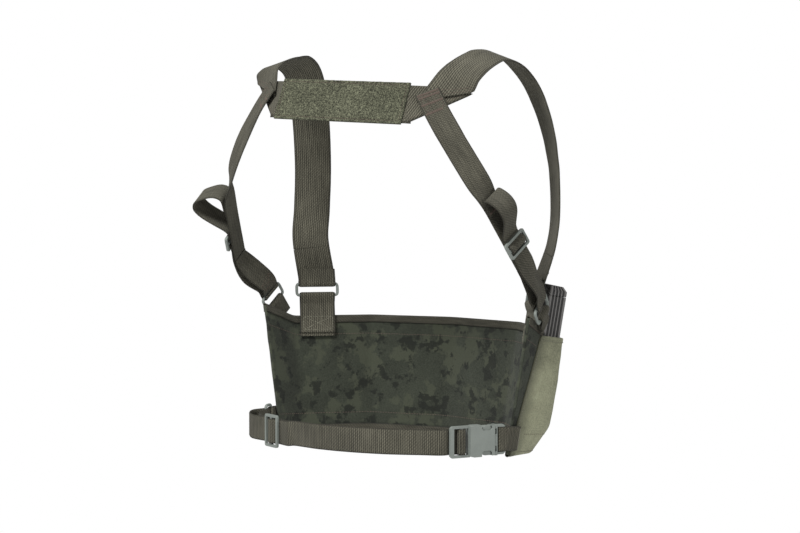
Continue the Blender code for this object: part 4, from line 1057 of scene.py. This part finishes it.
def build_lower_runs(side, label):
    """The two layers of side strap between the tri-glide and the side ring."""
    bar, up, out = side_top_bar()
    face = GLIDE_OUT
    start = GLIDE_LENGTH / 2 + RUN_LEAD
    keys = [(glide_point(start, -WEAVE_RISE), face), (glide_point(start + 16.0, -WEAVE_RISE), face),
            ((174.5, -5.5, 152.5), (0.97, 0.06, 0.22)), (bar + up * 12.0 + out * (TURN + 0.8), out),
            (bar + up * 0.5 + out * TURN, out)]
    stations = smooth(keys) + turn_round(bar, up, out) + [(bar + up * 1.8 - out * TURN, -out)]
    whole = Strap(to_side(stations, side), RUN_WIDTH, WEB, seed=21, step=TIGHT_STEP)
    ends = [mirrored(glide_point(start + run, -WEAVE_RISE), side) for run in (2.0, 14.0)]
    glide = ("side_glide_" + label, "rig", *ends)
    ring = ("side_ring_" + label, "rig", mirrored(bar, side), mirrored(bar + up * 16.0, side))
    for part, place, between in zip(whole.split(0.40), ("upper", "lower"), (glide, ring)):
        part.piece("outer_run_%s_%s" % (place, label), "webbing", "outer_run_" + label, between=between)
    layer = UNDER_LAYER + 2 * GAP
    keys = [(glide_point(27.0, -layer), face), ((165.6, -8.0, 155.0), (0.97, 0.05, 0.22)),
            (bar + up * 13.0 - out * (TURN + 1.2), out), (bar + up * 3.4 - out * TURN, out)]
    stations = [(glide_point(22.8, -layer), face)] + smooth(keys)
    strap = Strap(to_side(stations, side), RUN_WIDTH, WEB, seed=23)
    strap.box_stitch(strap.length - 15.0, strap.length - 4.0, face=-1)
    strap.piece("inner_run_web_" + label, "webbing thread", "inner_run_" + label, between=ring)


def build_tabs(side, label):
    """The sewn tabs that hold a front ring and a side ring on the panel."""
    stations = tab_stations(front_frame(), FRONT_TAB_START, FRONT_BAR_UP, FRONT_BAR_OUT, -1)
    strap = Strap(to_side(stations, side), FRONT_TAB_WIDTH, WEB, wave=0.0, step=TIGHT_STEP)
    for low in (3.0, strap.length - 17.0):
        strap.box_stitch(low, low + 14.0, kind=2)
    strap.piece("front_tab_web_" + label, "wide thread pale_thread", "front_tab_" + label)
    stations = tab_stations(wing_frame(), SIDE_TAB_START, SIDE_BAR_UP, SIDE_BAR_OUT, 1)
    strap = Strap(to_side(stations, side), SIDE_TAB_WIDTH, WEB, wave=0.0, step=TIGHT_STEP)
    strap.bar_tack(3.0, kind=2)
    strap.bar_tack(strap.length - 3.0, kind=2, rows=2)
    strap.piece("side_tab_web_" + label, "webbing thread pale_thread", "side_tab_" + label)


def build_belt():
    """Back belt from the buckle's ladder to the left tri-glide, and its two runs to the left ring."""
    out = BELT_GLIDE_OUT
    first = buckle_point(-1.2, 0.0, -(LADDER_THICK / 2 + GAP + WEB / 2))
    keys = [(first, buckle_axes()[2]), (buckle_point(-9.0, 0.0, -3.6), belt_station(42.0)[1])]
    keys += [belt_station(degrees) for degrees in (52, 64, 76, 88, 100, 112)]
    lead = BELT_GLIDE_LENGTH / 2 + RUN_LEAD
    keys += [(belt_glide_point(-lead - run, -WEAVE_RISE), out) for run in (14.0, 0.0)]
    whole = Strap(smooth(keys), NARROW, WEB, wave=0.35, seed=31)
    buckle = ("buckle_socket", "rig", first, belt_point(math.radians(86.0)))
    glide = ("belt_glide", "rig", belt_glide_point(-lead, 0.0), belt_glide_point(-lead - 34.0, 0.0))
    for part, place, between in zip(whole.split(0.5), ("buckle_end", "glide_end"), (buckle, glide)):
        part.piece("belt_strap_" + place, "belt", "belt_strap", between=between)
    stations = weave(belt_glide_point, BELT_GLIDE_AWAY, out, BELT_GLIDE_LENGTH)
    strap = Strap(stations, NARROW, WEB, wave=0.0, step=FINE_STEP)
    strap.piece("belt_glide_web", "belt", "belt_glide_webbing", "belt_glide")

    bar, ring_out = BELT_RING_CENTRE + BELT_RING_HALF, BELT_RING_OUT
    ring = ("belt_ring", "rig", bar, bar + BELT_RING_AWAY * 18.0)
    keys = [(belt_glide_point(lead, -WEAVE_RISE), out), ((-124.0, -66.5, -1.0), (-0.60, -0.80, 0.0)),
            ((-141.0, -49.0, -1.0), (-0.85, -0.52, 0.0)), ((-147.5, -33.0, -1.0), (-0.98, -0.20, 0.0)),
            (bar + BELT_RING_AWAY * 0.5 + ring_out * TURN, ring_out)]
    stations = smooth(keys) + turn_round(bar, BELT_RING_AWAY, ring_out)
    whole = Strap(stations, NARROW, WEB, seed=37, step=TIGHT_STEP)
    glide = ("belt_glide", "rig", belt_glide_point(lead, 0.0), belt_glide_point(lead + 16.0, 0.0))
    for part, place, between in zip(whole.split(0.5), ("glide_end", "ring_end"), (glide, ring)):
        part.piece("belt_outer_run_" + place, "belt", "belt_outer_run", between=between)
    under = -(WEAVE_RISE + WEB + GAP + RUN_CLEARANCE)
    keys = [(bar + BELT_RING_AWAY * 0.6 - ring_out * TURN, ring_out)]
    keys += [((-133.5, -41.0, -1.0), (-0.86, -0.50, 0.0)), ((-118.0, -61.5, -1.0), (-0.60, -0.80, 0.0))]
    keys += [(belt_glide_point(run, under), out) for run in (12.0, -12.0, -26.0)]
    strap = Strap(smooth(keys), NARROW, WEB, wave=0.0)
    strap.box_stitch(strap.length - 16.0, strap.length - 3.0, face=-1)
    strap.piece("belt_inner_run_web", "belt thread", "belt_inner_run", between=ring)


def build_buckle_web():
    """Belt webbing turned over the ladder's middle bar."""
    low = -(LADDER_THICK / 2 + GAP + WEB / 2)
    high = -low
    under = low - WEB - GAP
    start, end = LADDER_BAR_START, LADDER_BAR_END
    profile = [(-0.6, low), (start - 2.8, low), (start - 1.4, 0.2), (start - 0.4, high),
               (end + 0.2, high), (end + 2.6, 0.4), (end + 3.4, low - 0.8), (end - 0.5, under - 0.4),
               (8.0, under), (-0.6, under)]
    along, _, out = buckle_axes()
    stations = bend(profile, lambda run, rise: buckle_point(run, 0.0, rise), along, out)
    strap = Strap(stations, NARROW, WEB, wave=0.0, step=FINE_STEP)
    # Painted shade: the webbing down in the ladder's two slots is marked as edge, so the belt look darkens
    # it there as if shaded.
    marks = strap.cloth.marks[0]
    marks[(marks[:, 1] < 11.0) | (marks[:, 1] > 20.5), 2] = 1.0
    strap.piece("buckle_web", "belt", "buckle_webbing", "buckle_socket")


def build_belt_anchors():
    """Short webbing that holds the buckle's plug and the left ring on the wings."""
    bar = PLUG_SLOT[1]
    reach = PLUG_BAR_THICK / 2 + GAP + WEB / 2
    axis, _, out = buckle_axes()
    wing = belt_wing_frame()
    face = wing[3]
    seat = POUCH_SEAT + 2 * GAP + WEB / 2
    stack = seat + WEB + 2 * GAP
    stations = [(local(wing, ANCHOR_END, 0.0, stack), face),
                (local(wing, ANCHOR_END - 2.5, 0.0, stack + 0.8), face),
                (buckle_point(PLUG_END + 1.0, 0.0, reach), out), (buckle_point(bar, 0.0, reach), out)]
    for step in range(1, 10):
        angle = math.pi * step / 10
        spot = buckle_point(bar - reach * math.sin(angle), 0.0, reach * math.cos(angle))
        stations.append((spot, out * math.cos(angle) - axis * math.sin(angle)))
    stations += [(buckle_point(bar, 0.0, -reach), -out), (buckle_point(PLUG_END + 1.0, 0.0, -reach), -out),
                 (local(wing, ANCHOR_START, 0.0, seat), -face),
                 (local(wing, ANCHOR_END + 0.5, 0.0, seat), -face)]
    anchor_piece("right", stations, NARROW - 1.0, 1)

    away, out = BELT_RING_AWAY, BELT_RING_OUT
    pivot = BELT_RING_CENTRE - BELT_RING_HALF
    wing = [mirrored(axis, -1) for axis in wing]
    face = wing[3]
    stations = [(local(wing, ANCHOR_END + 0.5, 0.0, seat), face),
                (local(wing, ANCHOR_START, 0.0, seat), face), (pivot - away - out * TURN, out)]
    for point, _ in reversed(turn_round(pivot, -away, out)):
        stations.append((point, (pivot - point).normalized()))
    stations += [(pivot - away * 3.0 + out * TURN, -out),
                 (local(wing, ANCHOR_END - 2.5, 0.0, stack + 1.0), -face),
                 (local(wing, ANCHOR_END, 0.0, stack), -face)]
    anchor_piece("left", stations, NARROW, -1)


def anchor_piece(label, stations, width, face):
    strap = Strap(stations, width, WEB, wave=0.0, step=0.8)
    strap.bar_tack(2.5 if face > 0 else strap.length - 2.5, face=face)
    strap.piece("belt_anchor_web_" + label, "belt pale_thread", "belt_anchor_" + label)


# ---- panel, pouches and magazine

def build_loop_panel():
    """Loop pile sewn on the yoke: a fuzzy slab, pulled down along its stitched border."""
    centre = np.array((0.0, YOKE_Y, YOKE_Z))
    out, up, right = np.array(yoke_out()), np.array(yoke_up()), np.array((1.0, 0.0, 0.0))
    half, tall = YOKE_HALF - 2.0, LOOP_HEIGHT / 2
    low = WIDE_WEB / 2 + GAP
    x, y = np.meshgrid(np.linspace(half, -half, 150), np.linspace(-tall, tall, 46))
    border = np.minimum(half - np.abs(x), tall - np.abs(y))
    rise = LOOP_THICK - 0.3 - 0.9 * np.exp(-((border - 3.0) / 0.9) ** 2)
    rise -= 0.8 * np.clip(1 - border / 1.2, 0.0, 1.0) ** 2
    flat = np.stack([x, y, np.zeros_like(x)], -1)
    rise += ripple(flat, 1.7, 0.30, 3) + ripple(flat, 9.0, 0.30, 4)
    base = centre + x[..., None] * right + y[..., None] * up
    marks = np.stack([x + half, y, np.clip(1 - border / half, 0.0, 1.0)], -1)
    cloth = Cloth()
    slab(cloth, askew_grid(base + (low + rise)[..., None] * out), askew_grid(base + low * out), marks)
    wide, high = half - 3.0, tall - 3.0
    corners = [(wide, -high), (wide, high), (-wide, high), (-wide, -high)]
    for first, second in zip(corners, corners[1:] + corners[:1]):
        line = np.linspace(first, second, 30)
        points = centre + line[:, :1] * right + line[:, 1:] * up + out * (low + LOOP_THICK - 1.0)
        thread_run(cloth, askew(points), np.tile(out, (30, 1)))
    cloth.piece("loop_pile_panel", "loop thread", "loop_panel", slot="loop_pile")


def soften_rows(grid, passes, axis):
    """Round a grid's corners by averaging neighbours along one axis, its ends held."""
    grid = np.moveaxis(grid, axis, 0).copy()
    for _ in range(passes):
        grid[1:-1] = (grid[:-2] + 2 * grid[1:-1] + grid[2:]) / 4
    return np.moveaxis(grid, 0, axis)


def spread(corners, counts):
    """Points along a line of corners, with a set number of steps in each stretch."""
    points = [np.array(corners[0])]
    for first, second, count in zip(corners[:-1], corners[1:], counts):
        for step in range(1, count + 1):
            points.append(np.array(first) + (np.array(second) - np.array(first)) * step / count)
    return points


def cloth_marks(grid):
    """Across, along and edge coordinates for a grid, measured on it in millimetres."""
    columns = np.linalg.norm(np.diff(grid, axis=1), axis=2).mean(0)
    rows = np.linalg.norm(np.diff(grid, axis=0), axis=2).mean(1)
    along = np.concatenate([[0.0], np.cumsum(columns)])
    across = np.concatenate([[0.0], np.cumsum(rows)])
    u, v = np.meshgrid(across, along, indexing="ij")
    edge = np.abs(u / max(across[-1], 1e-6) * 2 - 1)
    return np.stack([u, v, edge], -1)


def edge_tape(cloth, grid, normals, thick, depth, tape, top=True, thread=1):
    """Tape folded over a sheet's top or bottom edge, sewn near its raw side."""
    rows, facing = (grid, normals) if top else (grid[::-1, ::-1], normals[::-1, ::-1])
    reach = np.linalg.norm(rows[-1] - rows, axis=2).mean(1)
    chosen = [i for i in range(len(rows)) if reach[i] <= depth]
    up = unit(rows[-1] - rows[-3])
    normal = facing[-1]
    radius = thick / 2 + tape
    outer = [rows[i] + facing[i] * tape for i in chosen]
    inner = [rows[i] - facing[i] * (thick + tape) for i in reversed(chosen)]
    arc = [rows[-1] - normal * (thick / 2) + (normal * math.cos(a) + up * math.sin(a)) * radius
           for a in np.linspace(0.35, math.pi - 0.35, 6)]
    folded = np.array(outer + arc + inner)
    thick_grid(cloth, folded, cloth_marks(folded), tape * 0.9)
    line = rows[chosen[0]] * 0.72 + rows[chosen[0] + 1] * 0.28
    thread_run(cloth, line + facing[chosen[0]] * (tape + 0.05), facing[chosen[0]], kind=thread)


def panel_grid(layer):
    rows = []
    for height in np.linspace(PANEL_BOTTOM, PANEL_TOP, PANEL_ROWS):
        share = (height - PANEL_BOTTOM) / (PANEL_TOP - PANEL_BOTTOM)
        ring = panel_ring(height, layer, height + WING_RISE * share)
        rows.append(spread(ring, (20, 40, 42, 6, 42, 40, 20)))
    return soften_rows(np.array(rows), 5, 1)


def build_panel():
    """The chest panel: printed pack cloth with taped edges and rows of stitching."""
    grid = panel_grid(PANEL_THICK)
    edge = np.minimum(np.arange(PANEL_ROWS), np.arange(PANEL_ROWS)[::-1])[:, None]
    relief = ripple(grid, 16.0, 0.5, 6) * np.clip(edge / 8.0, 0.0, 1.0)
    grid = grid + grid_normals(grid) * relief[..., None]
    cloth = Cloth()
    normals = thick_grid(cloth, grid, cloth_marks(grid), PANEL_THICK)
    for row in (9, 51):
        thread_run(cloth, grid[row], normals[row])
        thread_run(cloth, grid[row] - normals[row] * PANEL_THICK, -normals[row])
    cloth.piece("chest_panel_cloth", "panel thread", "chest_panel", slot="panel_fabric")
    for name, top in (("binding_top", True), ("binding_bottom", False)):
        cloth = Cloth()
        edge_tape(cloth, grid, normals, PANEL_THICK, BINDING_DEPTH + 0.5, BINDING_THICK, top)
        cloth.piece(name + "_tape", "tape thread", name)


def pouch_corners(frame, height, depth, seam, gusset):
    """Plan corners of a pouch at one height, from its near seam round its front to its far seam."""
    half, tucked = POUCH_WIDTH / 2, POUCH_SEAT - 0.2
    plan = [(-half, depth), (half, depth), (half, POUCH_SEAT), (half - 1.5, tucked)]
    near = []
    if gusset:
        level = height + POUCH_BOTTOM
        near = [on_wing(level, seam + POUCH_FLANGE, tucked), on_wing(level, seam, POUCH_SEAT)]
    else:
        plan = [(1.5 - half, tucked), (-half, POUCH_SEAT)] + plan
    return near + [on_segment(frame, along, height, out) for along, out in plan]


def pouch_grid(frame, side, gusset):
    heights, depths = zip(*POUCH_DEPTHS)
    rows = []
    counts = (3, 14, 38, 12, 2) if gusset else (2, 12, 38, 12, 2)
    levels = [(0.2, 2.2), (0.0, 5.5)] + [(h, None) for h in np.linspace(0.0, POUCH_HEIGHT, 60)]
    for height, fixed in levels:
        depth = fixed or np.interp(height, heights, depths)
        seam = np.interp(height, heights, POUCH_SEAMS)
        rows.append(spread(pouch_corners(frame, height, depth, seam, gusset), counts))
    grid = np.array(rows) * (side, 1.0, 1.0)
    grid = soften_rows(soften_rows(grid, 4, 1), 3, 0)
    return grid if side > 0 else grid[:, ::-1]


def build_pouch(kind, segment, side, label, full):
    """An open-topped pouch: a sewn cloth shell with a taped mouth, a gusset and a folded foot."""
    grid = pouch_grid(segment_frame(segment), side, kind == "outer")
    rows, columns = grid.shape[:2]
    across = np.sin(np.linspace(0.0, math.pi, columns))[None, :] ** 2
    up = np.sin(np.linspace(0.0, math.pi, rows))[:, None]
    belly = (0.6 if full else -1.6) * across * up
    relief = ripple(grid, 20.0, 0.9, 9 + segment * side) + ripple(grid, 7.0, 0.35, 13 + segment * side)
    push = belly + relief * across * np.clip(up * 3.0, 0.0, 1.0)
    grid = grid + grid_normals(grid) * push[..., None]
    cloth = Cloth()
    normals = thick_grid(cloth, grid, cloth_marks(grid), POUCH_WALL)
    edge_tape(cloth, grid, normals, POUCH_WALL, POUCH_TAPE_DEPTH, POUCH_TAPE_THICK)
    for column in (2, columns - 3):
        thread_run(cloth, grid[3:-6, column] + normals[3:-6, column] * 0.1, normals[3:-6, column])
    for row in (4, 13):
        thread_run(cloth, grid[row, 6:-6] + normals[row, 6:-6] * 0.05, normals[row, 6:-6], kind=2)
    name, node = "pouch_%s_cloth_%s" % (kind, label), "pouch_%s_%s" % (kind, label)
    cloth.piece(name, "pouch pale_thread thread", node, slot="pouch_fabric")


def build_magazine():
    """A polymer box with ribs up all four sides, and the floor plate that closes it, ribbed to match."""
    lower = [MAG_START, (MAG_START + MAG_SLOPE_END) / 2]
    shell = [(h, np.interp(h, (MAG_START, MAG_SLOPE_END), (2 * MAG_IN, MAG_OUT)), RIB_DEPTH)
             for h in np.concatenate([lower, np.linspace(MAG_SLOPE_END, MAG_PLATE_START - 0.4, 30)])]
    shell.append((MAG_PLATE_START, MAG_OUT - 0.5, 0.2))
    low = MAG_PLATE_START + GAP
    plate = [(low, MAG_OUT - 0.5, 0.2), (low + 0.4, MAG_OUT, RIB_DEPTH)]
    plate += [(MAG_END - MAG_PLATE_EDGE * (1 - t), MAG_OUT - MAG_PLATE_EDGE * t, RIB_DEPTH)
              for t in (0.0, 0.3, 0.6, 0.85)]
    plate.append((MAG_END, MAG_OUT - MAG_PLATE_EDGE, 0.0))
    for name, sections, node in (("magazine_shell_right", shell, "magazine_body_right"),
                                 ("magazine_plate_right", plate, "magazine_floor_plate_right")):
        points, crests = [], []
        for section in sections:
            for point, crest in magazine_section(*section):
                points.append(point)
                crests.append((crest, crest, crest))
        cloth = Cloth()
        cloth.add(points, crests, tube_faces(len(sections), len(points) // len(sections)))
        made = cloth.piece(name, "polymer", node, "magazine_right", slot="magazine_polymer")
        made.data.set_sharp_from_angle(angle=math.radians(35.0))


def magazine_section(height, top, ribs):
    """One closed outline of the magazine: its ribs are shallow ridges, marked 1 at their crests, where the
    polymer look paints highlights.
    """
    frame = segment_frame(1)
    corner = MAG_CORNER
    half = MAG_WIDTH / 2 - 0.2
    low, high = MAG_IN + 0.2, max(top, MAG_IN + 2 * corner + 0.6)
    corners = np.array(((-half, low), (half, low), (half, high), (-half, high)))
    outline = []
    for first, second, full in zip(corners, np.roll(corners, -1, axis=0), (MAG_WIDTH, MAG_OUT - MAG_IN) * 2):
        along = unit(second - first)
        normal = np.array((along[1], -along[0]))
        flat = np.linalg.norm(second - first) - 2 * corner
        count = int(round((full - 2 * corner) / RIB_PITCH))
        for step in range(count * 8 + 1):
            wave = np.clip(1.6 * math.cos(math.pi * step / 4), -1.0, 1.0)
            lift = ribs * (wave - 1.0) / 2
            run = corner + flat * step / (count * 8)
            outline.append((first + along * run + normal * lift, (wave + 1.0) / 2))
        for angle in (math.pi / 8, math.pi / 4, math.pi * 3 / 8):
            turn = along * (math.sin(angle) - 1.0) + normal * (math.cos(angle) - 1.0)
            outline.append((second + corner * turn, 1.0))
    return [(tuple(on_segment(frame, spot[0], height, spot[1])), mark) for spot, mark in outline]


# ---- moulded parts, kept from the CAD

def dress_moulded(frame):
    """Round the edges of the moulded nodes and give them their plastic."""
    for name, node in frame["nodes"].items():
        if not name.startswith(MOULDED) or "webbing" in name:
            continue
        node.data.materials.clear()
        node.data.materials.append(LOOKS["plastic"])
        node.modifiers.new("weld", "WELD").merge_threshold = 1e-5
        if "ring" in name:
            round_off = node.modifiers.new("round", "SUBSURF")
            round_off.levels = round_off.render_levels = 2
            node.data.shade_smooth()
        else:
            node.data.shade_flat()
            round_off = node.modifiers.new("round", "BEVEL")
            round_off.width = EDGE_ROUND
            round_off.segments = 3
            round_off.limit_method = "ANGLE"
            round_off.angle_limit = math.radians(30.0)
            round_off.use_clamp_overlap = True


# ---- stage, light and camera

def camera_axes():
    back = Vector((math.sin(CAMERA_TURN) * math.cos(CAMERA_LIFT),
                   -math.cos(CAMERA_TURN) * math.cos(CAMERA_LIFT), math.sin(CAMERA_LIFT)))
    right = Vector((math.cos(CAMERA_TURN), math.sin(CAMERA_TURN), 0.0))
    return right, back.cross(right).normalized(), back


def build_camera():
    right, up, back = camera_axes()
    data = bpy.data.cameras.new("camera")
    data.lens = CAMERA_LENS
    data.sensor_width = CAMERA_SENSOR
    made = link_object("camera", data)
    made.location = right * CAMERA_ACROSS + up * CAMERA_UP + back * CAMERA_DISTANCE
    made.rotation_mode = "QUATERNION"
    made.rotation_quaternion = Matrix((right, up, back)).transposed().to_quaternion()
    bpy.context.scene.camera = made


def build_light(name, place, aim, size, power):
    data = bpy.data.lights.new(name, "AREA")
    data.shape = "DISK"
    data.size = size
    data.energy = power
    made = link_object(name, data)
    made.location = place
    made.rotation_mode = "QUATERNION"
    made.rotation_quaternion = (aim - place).to_track_quat("-Z", "Y")


def build_stage():
    """A white floor well below the rig, under a white sky, with broad soft lamps."""
    world = bpy.data.worlds.new("studio")
    bpy.context.scene.world = world
    world.use_nodes = True
    tree = world.node_tree
    sky = tree.nodes["Background"]
    sky.inputs["Color"].default_value = (1.0, 1.0, 1.0, 1.0)
    seen = tree.nodes.new("ShaderNodeLightPath")
    strength = tree.nodes.new("ShaderNodeMapRange")
    strength.inputs["To Min"].default_value = SKY_LIGHT
    strength.inputs["To Max"].default_value = 1.0
    tree.links.new(seen.outputs["Is Camera Ray"], strength.inputs["Value"])
    tree.links.new(strength.outputs[0], sky.inputs["Strength"])
    right, _, back = camera_axes()
    middle = UPRIGHT * AIM_HEIGHT
    build_light("key", middle + back * 1.3 - right * 0.9 + UPRIGHT * 1.5, middle, KEY_SIZE, KEY_POWER)
    build_light("fill", middle + back * 1.6 + right * 1.4 + UPRIGHT * 0.3, middle, FILL_SIZE, FILL_POWER)
    look = Shader("floor", 0.9, specular=0.1)
    look.colour(look.ramp(look.noise(3.0), ((0.0, (0.93, 0.93, 0.93)), (1.0, (0.96, 0.96, 0.96)))))
    mesh = bpy.data.meshes.new("floor")
    turns = [2 * math.pi * k / FLOOR_SIDES for k in range(FLOOR_SIDES)]
    rim = [(FLOOR_REACH * math.cos(turn), FLOOR_REACH * math.sin(turn), FLOOR_LEVEL) for turn in turns]
    mesh.from_pydata(rim, [], [tuple(range(FLOOR_SIDES))])
    mesh.materials.append(look.made)
    link_object("floor", mesh)
    bpy.context.scene.view_settings.view_transform = "Standard"
    bpy.context.scene.view_settings.look = "None"


def main():
    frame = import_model()
    make_looks()
    build_yoke()
    build_loop_panel()
    build_panel()
    for side, label, slack in ((1, "right", SLACK_RIGHT), (-1, "left", SLACK_LEFT)):
        build_shoulder(side, label)
        build_diagonal(side, label)
        build_glide_web(side, label)
        build_slack(side, label, *slack)
        build_lower_runs(side, label)
        build_tabs(side, label)
        build_pouch("outer", 1, side, label, side > 0)
        build_pouch("inner", 2, side, label, False)
    build_belt()
    build_buckle_web()
    build_belt_anchors()
    build_magazine()
    dress_moulded(frame)
    build_camera()
    build_stage()


main()
